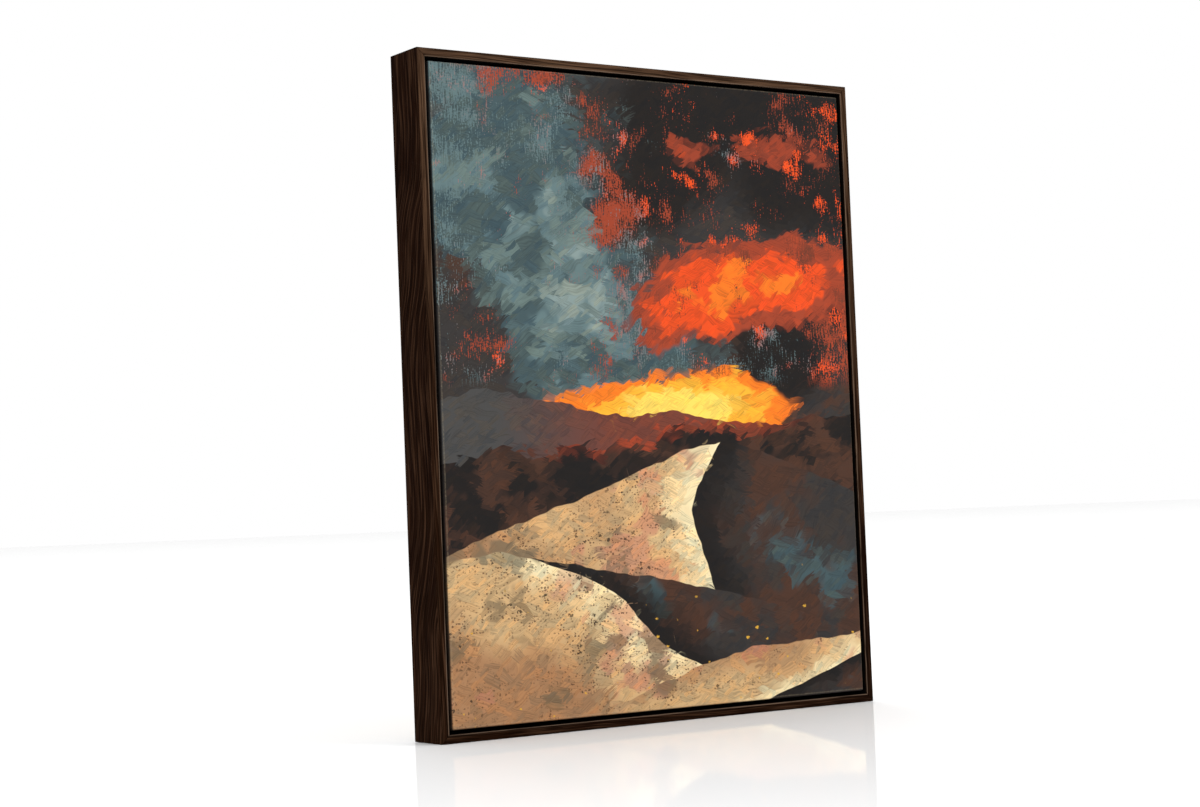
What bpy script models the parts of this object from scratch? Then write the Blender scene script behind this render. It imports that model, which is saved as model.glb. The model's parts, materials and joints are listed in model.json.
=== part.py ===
"""A stretched canvas picture in a dark wood floater frame, standing on its lower rail.

Metres, +Z up. The picture faces -Y. The origin is the middle of the frame's footprint.

The frame is four mitred rails of an L-shaped section: a thin wall that shows as a narrow
front edge, and a shelf along the back. The canvas is one sheet, folded round four mitred
stretcher bars and turned over behind them. It stands on the shelf, a shadow gap away from
the wall all round, and eight countersunk screws through the shelf hold the bars.
"""

import math

import bmesh
import bpy
from mathutils import Vector

# Driving dimensions.
CANVAS_WIDTH = 0.4064  # 16 inches, a stock canvas
CANVAS_HEIGHT = 0.508  # 20 inches
FLOAT_GAP = 0.003  # shadow gap between the canvas and the frame's wall
RAIL_FACE = 0.0066  # the rail's front edge, as wide as its wall is thick
RAIL_DEPTH = 0.041  # front to back
SHELF_REACH = 0.018  # how far the shelf stands in from the wall
SHELF_THICKNESS = 0.006
CANVAS_RECESS = 0.001  # the canvas lies this far behind the rails' front edge
CONTACT_GAP = 0.0003  # between pieces that touch in the real thing

CLOTH_THICKNESS = 0.0007
CLOTH_FOLD_RADIUS = 0.0016  # outside of the fold at the canvas's front edge
CLOTH_TURNOVER = 0.027  # cloth turned over behind the bars

BAR_WIDTH = 0.038
BAR_BEAD = 0.006  # the raised front edge that carries the cloth
BAR_FALL = 0.003  # how far the bar's front falls away behind the cloth

SCREW_LENGTH = 0.024
SCREW_HEAD_RADIUS = 0.0036
SCREW_SHANK_RADIUS = 0.0016
SCREW_HEAD_DEPTH = 0.0022
SCREW_TIP = 0.004
SCREW_SINK = 0.0002  # the head's top lies this far below the shelf's back
SCREW_INSET = 0.008  # from the canvas's edge to the screw's axis
SCREW_SPREAD = 0.3  # each screw's distance from its rail's middle, over the rail's length
RECESS_REACH = 0.0019  # half the width of the head's cross-shaped recess
RECESS_ARM = 0.0005  # half the width of one of its arms
RECESS_DEPTH = 0.0013

ROUND_STEPS = 3  # straight pieces in the arc of a rounded edge
HOLE_SIDES = 20  # sides of a screw and of its hole

# Derived dimensions.
FRAME_WIDTH = CANVAS_WIDTH + 2 * (FLOAT_GAP + RAIL_FACE)
FRAME_HEIGHT = CANVAS_HEIGHT + 2 * (FLOAT_GAP + RAIL_FACE)
FRONT = -RAIL_DEPTH / 2
BACK = RAIL_DEPTH / 2
CANVAS_INSET = RAIL_FACE + FLOAT_GAP
CANVAS_DEPTH = RAIL_DEPTH - CANVAS_RECESS - SHELF_THICKNESS - CONTACT_GAP
CLOTH_BUILD_UP = CLOTH_THICKNESS + CONTACT_GAP
BAR_INSET = CANVAS_INSET + CLOTH_BUILD_UP
BAR_DEPTH = CANVAS_DEPTH - 2 * CLOTH_BUILD_UP
MITRE_CLEARANCE = CONTACT_GAP / math.sqrt(2)  # each rail's end is this much short of its mitre

SIDES = ("bottom", "right", "top", "left")

FINISHES = {
    "dark_wood": ((0.032, 0.017, 0.010), 0.45, 0.0),
    "pine": ((0.62, 0.42, 0.23), 0.65, 0.0),
    "canvas": ((0.30, 0.12, 0.06), 0.75, 0.0),
    "zinc_steel": ((0.60, 0.60, 0.58), 0.30, 1.0),
}


def clear_scene():
    """Remove what the file opened with."""
    for thing in list(bpy.data.objects):
        bpy.data.objects.remove(thing)


def finish(name):
    """The named material, made once."""
    material = bpy.data.materials.get(name)
    if material is None:
        colour, roughness, metallic = FINISHES[name]
        material = bpy.data.materials.new(name)
        material.use_nodes = True
        shader = material.node_tree.nodes["Principled BSDF"]
        shader.inputs["Base Color"].default_value = (*colour, 1.0)
        shader.inputs["Roughness"].default_value = roughness
        shader.inputs["Metallic"].default_value = metallic
    return material


def add_object(name, mesh, parent=None):
    """Link a mesh to the scene as a named object."""
    thing = bpy.data.objects.new(name, mesh)
    bpy.context.scene.collection.objects.link(thing)
    thing.parent = parent
    return thing


def mesh_of(name, points, faces, material=None):
    """A closed mesh from points and faces, with its faces turned outwards."""
    mesh = bpy.data.meshes.new(name)
    mesh.from_pydata(points, [], faces)
    shape = bmesh.new()
    shape.from_mesh(mesh)
    bmesh.ops.recalc_face_normals(shape, faces=shape.faces)
    shape.to_mesh(mesh)
    shape.free()
    if material:
        mesh.materials.append(finish(material))
    return mesh


def rounded(corners):
    """An outline with its corners rounded: corners are (inward, back, radius) in order.

    Each arc starts and ends where a circle of that radius touches the two sides.
    """
    outline = []
    count = len(corners)
    for index, (inward, back, radius) in enumerate(corners):
        here = Vector((inward, back))
        if radius == 0:
            outline.append(tuple(here))
            continue
        before = (Vector(corners[index - 1][:2]) - here).normalized()
        after = (Vector(corners[(index + 1) % count][:2]) - here).normalized()
        half_angle = before.angle(after) / 2
        centre = here + (before + after).normalized() * radius / math.sin(half_angle)
        start = here + before * radius / math.tan(half_angle) - centre
        turn = start.angle_signed(here + after * radius / math.tan(half_angle) - centre)
        for step in range(ROUND_STEPS + 1):
            # angle_signed is clockwise, and so is the turn made here
            angle = turn * step / ROUND_STEPS
            swing = Vector(
                (
                    start.x * math.cos(angle) + start.y * math.sin(angle),
                    start.y * math.cos(angle) - start.x * math.sin(angle),
                )
            )
            outline.append(tuple(centre + swing))
    return outline


def mitred_length(name, outline, half_length, material):
    """A length of the section outline along X with mitred ends.

    A point that lies further in is on a shorter line, which makes the 45 degree mitre.
    Inward is local +Z, and the outline's second number is local +Y.
    """
    count = len(outline)
    points = []
    for end in (-1, 1):
        for inward, back in outline:
            points.append((end * (half_length - inward - MITRE_CLEARANCE), back, inward))
    faces = [tuple(range(count)), tuple(range(count, 2 * count))]
    for index in range(count):
        follower = (index + 1) % count
        faces.append((index, follower, count + follower, count + index))
    return mesh_of(name, points, faces, material)


def side_place(side):
    """The middle of a side's outer edge, half its length, and its turn about Y."""
    index = SIDES.index(side)
    upright = index % 2 == 1
    half_length = (FRAME_HEIGHT if upright else FRAME_WIDTH) / 2
    places = {
        "bottom": (0, 0),
        "right": (FRAME_WIDTH / 2, FRAME_HEIGHT / 2),
        "top": (0, FRAME_HEIGHT),
        "left": (-FRAME_WIDTH / 2, FRAME_HEIGHT / 2),
    }
    return places[side], half_length, -index * math.pi / 2


def side_guide(side):
    """An empty at the middle of a side's outer edge: local X runs along it, local Z inwards."""
    (across, up), _, turn = side_place(side)
    guide = add_object(f"guide_{side}", None)
    guide.location = (across, 0, up)
    guide.rotation_euler = (0, turn, 0)
    return guide


def rail_outline():
    """The floater rail's L: wall, and shelf along the back."""
    shelf_front = BACK - SHELF_THICKNESS
    shelf_end = RAIL_FACE + SHELF_REACH
    return rounded(
        [
            (0, FRONT, 0.0007),
            (RAIL_FACE, FRONT, 0.0005),
            (RAIL_FACE, shelf_front, 0),
            (shelf_end, shelf_front, 0.0004),
            (shelf_end, BACK, 0.0006),
            (0, BACK, 0.0006),
        ]
    )


def bar_outline():
    """The stretcher bar: a bead at its outer front edge, then a face that falls away."""
    outer = BAR_INSET
    front = FRONT + CANVAS_RECESS + CLOTH_BUILD_UP
    back = front + BAR_DEPTH
    return rounded(
        [
            (outer, front, 0.0009),
            (outer + BAR_BEAD, front, 0.0009),
            (outer + BAR_WIDTH, front + BAR_FALL, 0.001),
            (outer + BAR_WIDTH, back, 0.001),
            (outer, back, 0.0009),
        ]
    )


def screw_profile(clearance=0.0):
    """The screw from its head's middle to its tip, as (radius, depth below the shelf's back)."""
    head_end = SCREW_SINK + SCREW_HEAD_DEPTH
    shank_end = SCREW_SINK + SCREW_LENGTH - SCREW_TIP
    if clearance == 0:
        return [
            (0, SCREW_SINK),
            (SCREW_HEAD_RADIUS, SCREW_SINK),
            (SCREW_SHANK_RADIUS, head_end),
            (SCREW_SHANK_RADIUS, shank_end),
            (0, SCREW_SINK + SCREW_LENGTH),
        ]
    # The hole starts above the shelf's back, so that it cuts right through the surface.
    overshoot = 0.001
    cone = (SCREW_HEAD_RADIUS - SCREW_SHANK_RADIUS) / SCREW_HEAD_DEPTH
    return [
        (0, -overshoot),
        (SCREW_HEAD_RADIUS + clearance + cone * (overshoot + SCREW_SINK), -overshoot),
        (SCREW_SHANK_RADIUS + clearance, head_end),
        (SCREW_SHANK_RADIUS + clearance, SCREW_SINK + SCREW_LENGTH),
        (0, SCREW_SINK + SCREW_LENGTH + clearance),
    ]


def turned(name, profile, material=None):
    """A profile of (radius, depth) turned about local Y, its depth running towards -Y."""
    points = []
    rings = []
    for radius, depth in profile:
        if radius == 0:
            rings.append([len(points)])
            points.append((0, -depth, 0))
            continue
        ring = []
        for side in range(HOLE_SIDES):
            angle = 2 * math.pi * side / HOLE_SIDES
            ring.append(len(points))
            points.append((radius * math.cos(angle), -depth, radius * math.sin(angle)))
        rings.append(ring)
    faces = []
    for ring, follower in zip(rings, rings[1:]):
        for side in range(HOLE_SIDES):
            far = (side + 1) % HOLE_SIDES
            if len(ring) == 1:
                faces.append((ring[0], follower[side], follower[far]))
            elif len(follower) == 1:
                faces.append((ring[side], follower[0], ring[far]))
            else:
                faces.append((ring[side], follower[side], follower[far], ring[far]))
    return mesh_of(name, points, faces, material)


def cross_cutter():
    """The cross-shaped recess of a screw's head, narrower at its foot."""
    reach, arm = RECESS_REACH, RECESS_ARM
    quarter = [(reach, -arm), (reach, arm), (arm, arm)]
    outline = []
    for turn in range(4):
        for x, z in quarter:
            for _ in range(turn):
                x, z = -z, x
            outline.append((x, z))
    count = len(outline)
    levels = ((-0.0005, 1.0), (SCREW_SINK + RECESS_DEPTH, 0.55))
    points = [(x * scale, -depth, z * scale) for depth, scale in levels for x, z in outline]
    faces = [tuple(range(count)), tuple(range(count, 2 * count))]
    for index in range(count):
        follower = (index + 1) % count
        faces.append((index, follower, count + follower, count + index))
    return mesh_of("screw_recess", points, faces)


def hide_tool(thing):
    """Mark a cutter, which is no part of the model."""
    thing.hide_render = True
    thing.display_type = "WIRE"


def cut(thing, tool):
    """Cut one closed shape from another."""
    modifier = thing.modifiers.new(f"cut_{tool.name}", "BOOLEAN")
    modifier.operation = "DIFFERENCE"
    modifier.solver = "EXACT"
    modifier.object = tool


def screw_places(side):
    """Where a side's two screws stand, in the side's own frame."""
    _, half_length, _ = side_place(side)
    for end in (-1, 1):
        yield Vector((end * 2 * half_length * SCREW_SPREAD, BACK, CANVAS_INSET + SCREW_INSET))


def canvas_mesh():
    """The sheet as one closed shell: front, folded edge, sides, and turnover behind the bars.

    Each loop is a rectangle, given by how far it lies in from the canvas's edge and how far
    behind the canvas's front. The loops run down the outside of the cloth and back inside it.
    """
    cloth = CLOTH_THICKNESS
    outer_radius = CLOTH_FOLD_RADIUS
    inner_radius = outer_radius - cloth
    quarter = [math.pi / 2 * step / ROUND_STEPS for step in range(ROUND_STEPS + 1)]
    outside_front = [
        (outer_radius * (1 - math.sin(angle)), outer_radius * (1 - math.cos(angle)))
        for angle in quarter
    ]
    inside_front = [
        (
            cloth + inner_radius * (1 - math.sin(angle)),
            cloth + inner_radius * (1 - math.cos(angle)),
        )
        for angle in reversed(quarter)
    ]
    outside_back = [
        (outer_radius * (1 - math.cos(angle)), CANVAS_DEPTH - outer_radius * (1 - math.sin(angle)))
        for angle in quarter
    ]
    inside_back = [
        (
            cloth + inner_radius * (1 - math.cos(angle)),
            CANVAS_DEPTH - cloth - inner_radius * (1 - math.sin(angle)),
        )
        for angle in reversed(quarter)
    ]
    turnover = [(CLOTH_TURNOVER, CANVAS_DEPTH), (CLOTH_TURNOVER, CANVAS_DEPTH - cloth)]
    loops = outside_front + outside_back + turnover + inside_back + inside_front

    middle_up = FRAME_HEIGHT / 2
    points = []
    for inset, depth in loops:
        half_width = CANVAS_WIDTH / 2 - inset
        half_height = CANVAS_HEIGHT / 2 - inset
        y = FRONT + CANVAS_RECESS + depth
        for across, up in ((-1, -1), (1, -1), (1, 1), (-1, 1)):
            points.append((across * half_width, y, middle_up + up * half_height))
    last = 4 * (len(loops) - 1)
    faces = [(0, 1, 2, 3), (last, last + 1, last + 2, last + 3)]
    for start in range(0, last, 4):
        for corner in range(4):
            far = (corner + 1) % 4
            faces.append((start + corner, start + far, start + 4 + far, start + 4 + corner))
    return mesh_of("canvas", points, faces, "canvas")


def build():
    """Make every piece of the picture."""
    clear_scene()
    canvas = add_object("canvas", canvas_mesh())
    hole = turned("screw_hole", screw_profile(clearance=CONTACT_GAP))
    screw = turned("screw", screw_profile(), "zinc_steel")
    recess = cross_cutter()
    for side in SIDES:
        _, half_length, _ = side_place(side)
        guide = side_guide(side)
        rail = add_object(
            f"rail_{side}",
            mitred_length(f"rail_{side}", rail_outline(), half_length, "dark_wood"),
            guide,
        )
        bar = add_object(
            f"stretcher_{side}",
            mitred_length(f"stretcher_{side}", bar_outline(), half_length, "pine"),
            guide,
        )
        for number, place in enumerate(screw_places(side), start=1):
            hole_tool = add_object(f"hole_{side}_{number}", hole, guide)
            hole_tool.location = place
            hide_tool(hole_tool)
            for pierced in (rail, bar, canvas):
                cut(pierced, hole_tool)
            fixing = add_object(f"screw_{side}_{number}", screw, guide)
            fixing.location = place
            recess_tool = add_object(f"recess_{side}_{number}", recess, guide)
            recess_tool.location = place
            hide_tool(recess_tool)
            cut(fixing, recess_tool)


build()
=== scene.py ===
"""The looks of a stretched canvas picture in a dark wood floater frame.

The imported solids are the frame: the rails, the stretcher bars and the screws keep their
shapes and get their finishes here. The canvas is made anew, as thin cloth pulled over the
bars, with its corners pleated behind and its cut edge stapled down. Metres, +Z up, and the
picture faces -Y.
"""

import json
import logging
import math
from dataclasses import dataclass
from enum import Enum
from typing import List, Mapping, Sequence, Tuple, Union

import bmesh
import bpy
import numpy as np
from mathutils import Matrix, Vector

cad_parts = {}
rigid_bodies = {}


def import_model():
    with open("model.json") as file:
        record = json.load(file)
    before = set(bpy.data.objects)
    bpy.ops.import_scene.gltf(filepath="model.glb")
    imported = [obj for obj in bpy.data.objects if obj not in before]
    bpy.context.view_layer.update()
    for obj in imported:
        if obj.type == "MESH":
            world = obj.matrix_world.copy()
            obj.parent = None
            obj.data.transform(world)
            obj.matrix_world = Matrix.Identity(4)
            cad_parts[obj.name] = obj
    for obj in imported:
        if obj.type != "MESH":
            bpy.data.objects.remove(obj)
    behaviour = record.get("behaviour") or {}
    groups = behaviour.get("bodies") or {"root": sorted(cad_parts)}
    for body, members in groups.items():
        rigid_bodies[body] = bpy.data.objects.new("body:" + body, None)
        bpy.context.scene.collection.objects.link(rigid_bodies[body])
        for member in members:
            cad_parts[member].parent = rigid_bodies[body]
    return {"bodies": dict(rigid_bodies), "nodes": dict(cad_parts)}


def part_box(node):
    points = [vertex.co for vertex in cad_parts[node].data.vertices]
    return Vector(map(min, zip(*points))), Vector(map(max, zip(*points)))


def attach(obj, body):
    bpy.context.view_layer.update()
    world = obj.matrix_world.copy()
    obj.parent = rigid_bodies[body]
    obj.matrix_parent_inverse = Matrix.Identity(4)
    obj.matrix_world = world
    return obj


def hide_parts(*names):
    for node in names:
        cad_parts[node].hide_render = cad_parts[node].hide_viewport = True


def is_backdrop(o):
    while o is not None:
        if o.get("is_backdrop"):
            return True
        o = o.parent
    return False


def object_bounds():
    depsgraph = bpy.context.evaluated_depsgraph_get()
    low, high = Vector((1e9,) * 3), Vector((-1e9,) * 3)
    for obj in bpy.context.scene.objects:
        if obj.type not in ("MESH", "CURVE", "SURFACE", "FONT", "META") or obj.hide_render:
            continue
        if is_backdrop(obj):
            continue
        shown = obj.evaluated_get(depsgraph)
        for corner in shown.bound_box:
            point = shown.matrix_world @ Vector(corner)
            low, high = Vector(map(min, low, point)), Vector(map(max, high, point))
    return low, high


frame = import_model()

log = logging.getLogger("picture")

Socket = bpy.types.NodeSocket
Pair = Tuple[float, float]
Triple = Tuple[float, float, float]
Number = Union["Signal", float]
Colour = Union[Socket, Triple]
Key = Union[int, str]
Length = Union[float, np.ndarray]

SIDES = ("bottom", "right", "top", "left")
RAIL_FACE = 0.0066  # the width of a rail's front edge


def pigment(red: int, green: int, blue: int) -> Triple:
    """Turn a colour as a screen shows it into the linear one that a shader takes.

    Args:
        red: red from 0 to 255.
        green: green from 0 to 255.
        blue: blue from 0 to 255.

    Returns:
        The three linear shares, each the screen's share put through the sRGB curve.
    """
    def linear(level: int) -> float:
        """One channel through the curve."""
        share = level / 255
        return share / 12.92 if share <= 0.04045 else ((share + 0.055) / 1.055) ** 2.4

    return linear(red), linear(green), linear(blue)


@dataclass(frozen=True)
class Spatter:
    """Scattered spots.

    Attributes:
        gap: the distance between their middles.
        cover: the share of the places that have one.
        size: the largest spot's radius over the gap.
        squeeze: how many of them fit into a gap, across and up.
        soft: half the width of a spot's edge over the gap.
    """

    gap: float
    cover: float
    size: float
    squeeze: Pair = (0.85, 1.15)
    soft: float = 0.05


class Signal:
    """A number that varies over a surface: a shader socket that takes Python's operators."""

    def __init__(self, graph: "Graph", socket: Socket) -> None:
        """Wrap an output socket of one of the graph's nodes."""
        self.graph = graph
        self.socket = socket

    def _maths(self, operation: str, *operands: Number) -> "Signal":
        """Add a Math node that works on the operands in order."""
        node = self.graph.node("ShaderNodeMath", {"operation": operation}, dict(enumerate(operands)))
        return Signal(self.graph, node.outputs[0])

    def __add__(self, other: Number) -> "Signal":
        """Self plus other."""
        return self._maths("ADD", self, other)

    def __sub__(self, other: Number) -> "Signal":
        """Self minus other."""
        return self._maths("SUBTRACT", self, other)

    def __rsub__(self, other: float) -> "Signal":
        """Other minus self."""
        return self._maths("SUBTRACT", other, self)

    def __mul__(self, other: Number) -> "Signal":
        """Self times other."""
        return self._maths("MULTIPLY", self, other)

    def __truediv__(self, other: Number) -> "Signal":
        """Self over other."""
        return self._maths("DIVIDE", self, other)

    def __rtruediv__(self, other: float) -> "Signal":
        """Other over self."""
        return self._maths("DIVIDE", other, self)

    def __pow__(self, other: Number) -> "Signal":
        """Self to the power of other."""
        return self._maths("POWER", self, other)

    def __abs__(self) -> "Signal":
        """Self without its sign."""
        return self._maths("ABSOLUTE", self)

    __radd__ = __add__
    __rmul__ = __mul__

    def least(self, other: Number) -> "Signal":
        """The smaller of self and other."""
        return self._maths("MINIMUM", self, other)

    def most(self, other: Number) -> "Signal":
        """The larger of self and other."""
        return self._maths("MAXIMUM", self, other)

    def wave(self) -> "Signal":
        """The sine of self, in radians."""
        return self._maths("SINE", self)

    def towards(self, other: Number, share: Number) -> "Signal":
        """Self where share is 0, other where it is 1, and between them in between."""
        node = self.graph.node("ShaderNodeMix", {"data_type": "FLOAT"}, {0: share, 2: self, 3: other})
        return Signal(self.graph, node.outputs[0])

    def rise(self, low: Number, high: Number) -> "Signal":
        """A smooth step from 0 where self is low to 1 where it is high.

        Args:
            low: the value below which the step is 0. It may be above high, for a fall.
            high: the value past which the step is 1.

        Returns:
            The step, with a level start and end.
        """
        node = self.graph.node(
            "ShaderNodeMapRange",
            {"interpolation_type": "SMOOTHSTEP"},
            {"Value": self, "From Min": low, "From Max": high},
        )
        return Signal(self.graph, node.outputs[0])


class Graph:
    """A shader node tree, built from Python expressions."""

    def __init__(self, tree: bpy.types.NodeTree) -> None:
        """Work on a tree that has no nodes yet."""
        self.tree = tree

    def node(
        self, kind: str, settings: Mapping[str, object], inputs: Mapping[Key, object]
    ) -> bpy.types.Node:
        """Add a node: its settings first, and then the values or links of its sockets.

        Args:
            kind: the node's type.
            settings: the node's own properties, such as a Math node's operation.
            inputs: values, sockets or signals by the input's name or number.

        Returns:
            The node.
        """
        node = self.tree.nodes.new(kind)
        for name, setting in settings.items():
            setattr(node, name, setting)
        for key, value in inputs.items():
            self.feed(node, key, value)
        return node

    def feed(self, node: bpy.types.Node, key: Key, value: object) -> None:
        """Give one input its value, or a link from a signal or socket."""
        source = value.socket if isinstance(value, Signal) else value
        if isinstance(source, Socket):
            self.tree.links.new(source, node.inputs[key])
        elif node.inputs[key].type == "RGBA":
            node.inputs[key].default_value = (*source, 1.0)
        else:
            node.inputs[key].default_value = source

    def number(self, node: bpy.types.Node, output: Key = 0) -> Signal:
        """One of a node's outputs as a signal."""
        return Signal(self, node.outputs[output])

    def place(self) -> Socket:
        """The point in the object's own frame, in metres."""
        return self.node("ShaderNodeTexCoord", {}, {}).outputs["Object"]

    def flat(self, layer: str) -> Socket:
        """The point on the cloth as it lay flat, from the mesh's UV layer."""
        return self.node("ShaderNodeUVMap", {"uv_map": layer}, {}).outputs[0]

    def parts(self, vector: Socket) -> Tuple[Signal, Signal, Signal]:
        """A vector's three numbers."""
        node = self.node("ShaderNodeSeparateXYZ", {}, {0: vector})
        return tuple(Signal(self, output) for output in node.outputs)

    def channels(self, colour: Socket) -> Tuple[Signal, Signal, Signal]:
        """A colour's three numbers."""
        node = self.node("ShaderNodeSeparateColor", {}, {0: colour})
        return tuple(Signal(self, output) for output in node.outputs)

    def joined(self, x: Number, y: Number, z: Number = 0.0) -> Socket:
        """A vector from three numbers."""
        return self.node("ShaderNodeCombineXYZ", {}, {0: x, 1: y, 2: z}).outputs[0]

    def vector(self, operation: str, *operands: object) -> Socket:
        """Vector Math on vectors, given as sockets or as three numbers."""
        node = self.node("ShaderNodeVectorMath", {"operation": operation}, dict(enumerate(operands)))
        return node.outputs[0]

    def turned(self, vector: Socket, angle: Number, back: bool = False) -> Socket:
        """A vector turned about Z by an angle in radians, or turned back by it."""
        settings = {"rotation_type": "Z_AXIS", "invert": back}
        node = self.node("ShaderNodeVectorRotate", settings, {"Vector": vector, "Angle": angle})
        return node.outputs[0]

    def mix(self, below: Colour, above: Colour, share: Number, blend: str = "MIX") -> Socket:
        """Lay one colour over another.

        Args:
            below: the colour where share is 0.
            above: the colour that is laid on.
            share: how much of it, from 0 to 1.
            blend: the Mix node's way of laying it on.

        Returns:
            The mixed colour.
        """
        settings = {"data_type": "RGBA", "blend_type": blend}
        return self.node("ShaderNodeMix", settings, {0: share, 6: below, 7: above}).outputs[2]

    def noises(
        self,
        place: Socket,
        scale: float,
        detail: float = 2.0,
        roughness: float = 0.5,
        flat: bool = False,
    ) -> bpy.types.Node:
        """Cloudy noise: output 0 is one number about 0.5, output 1 three of them as a colour.

        Args:
            place: where it is read.
            scale: its lumps to the metre, along each axis of place.
            detail: how many finer octaves are added.
            roughness: how strong each finer octave is.
            flat: whether it is read from the place's first two numbers only.

        Returns:
            The noise node.
        """
        return self.node(
            "ShaderNodeTexNoise",
            {"noise_dimensions": "2D" if flat else "3D"},
            {"Vector": place, "Scale": scale, "Detail": detail, "Roughness": roughness},
        )

    def noise(
        self,
        place: Socket,
        scale: float,
        detail: float = 2.0,
        roughness: float = 0.5,
        flat: bool = False,
    ) -> Signal:
        """The first number of the noises at a place, which are described there."""
        return self.number(self.noises(place, scale, detail, roughness, flat))

    def cells(self, place: Socket) -> bpy.types.Node:
        """Flat Voronoi cells, one to each unit of the place's first two numbers."""
        settings = {"voronoi_dimensions": "2D", "feature": "F1"}
        return self.node("ShaderNodeTexVoronoi", settings, {"Vector": place, "Scale": 1.0})

    def spots(self, place: Socket, spatter: Spatter, fray: Signal) -> Signal:
        """Spots about the middles of some of the cells, a little wider than high.

        Args:
            place: the place on the surface.
            spatter: how the spots are scattered.
            fray: a noise from 0 to 1 that makes the spots uneven.

        Returns:
            1 in a spot, 0 outside.
        """
        size, soft = spatter.size, spatter.soft
        across, up = (rate / spatter.gap for rate in spatter.squeeze)
        cell = self.cells(self.vector("MULTIPLY", place, (across, up, 0.0)))
        draw = self.channels(cell.outputs["Color"])
        edge = self.number(cell, "Distance") + (fray - 0.5) * size * 2.0 - draw[1] * size
        return edge.rise(soft, -soft) * self.picked(draw[0], spatter.cover)

    def picked(self, draw: Signal, share: float, margin: float = 0.01) -> Signal:
        """1 for the share of the cells whose draw from 0 to 1 lies below it, 0 for the rest."""
        return draw.rise(share + margin, share - margin)

    def bump(self, height: Number, distance: float) -> Socket:
        """A normal tilted by a height from 0 to 1 that stands for a real distance in metres."""
        inputs = {"Height": height, "Distance": distance, "Strength": 1.0}
        return self.node("ShaderNodeBump", {}, inputs).outputs[0]


class Finish(Graph):
    """A material's graph, with one Principled shader."""

    def __init__(self, name: str) -> None:
        """Start a material with nothing but its output and its shader."""
        self.material = bpy.data.materials.new(name)
        self.material.use_nodes = True
        self.material.node_tree.nodes.clear()
        super().__init__(self.material.node_tree)
        self.shader = self.node("ShaderNodeBsdfPrincipled", {}, {})
        self.node("ShaderNodeOutputMaterial", {}, {"Surface": self.shader.outputs[0]})

    def dress(self, inputs: Mapping[Key, object]) -> bpy.types.Material:
        """Give the shader its inputs by their names, and hand the material over."""
        for name, value in inputs.items():
            self.feed(self.shader, name, value)
        return self.material


class Axis(Enum):
    """Which way a piece of timber runs."""

    ACROSS = "across"
    UP = "up"

    @classmethod
    def of(cls, side: str) -> "Axis":
        """The way that the timber on one side of the picture runs."""
        return cls.UP if side in ("right", "left") else cls.ACROSS


def along_grain(graph: Graph, axis: Axis) -> Tuple[Signal, Signal, Signal]:
    """The point as timber sees it.

    Args:
        graph: the material's graph.
        axis: which way the piece runs.

    Returns:
        The distance along the grain, the distance across it, and the depth from front to back.
    """
    x, y, z = graph.parts(graph.place())
    return (z, x, y) if axis is Axis.UP else (x, z, y)


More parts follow.
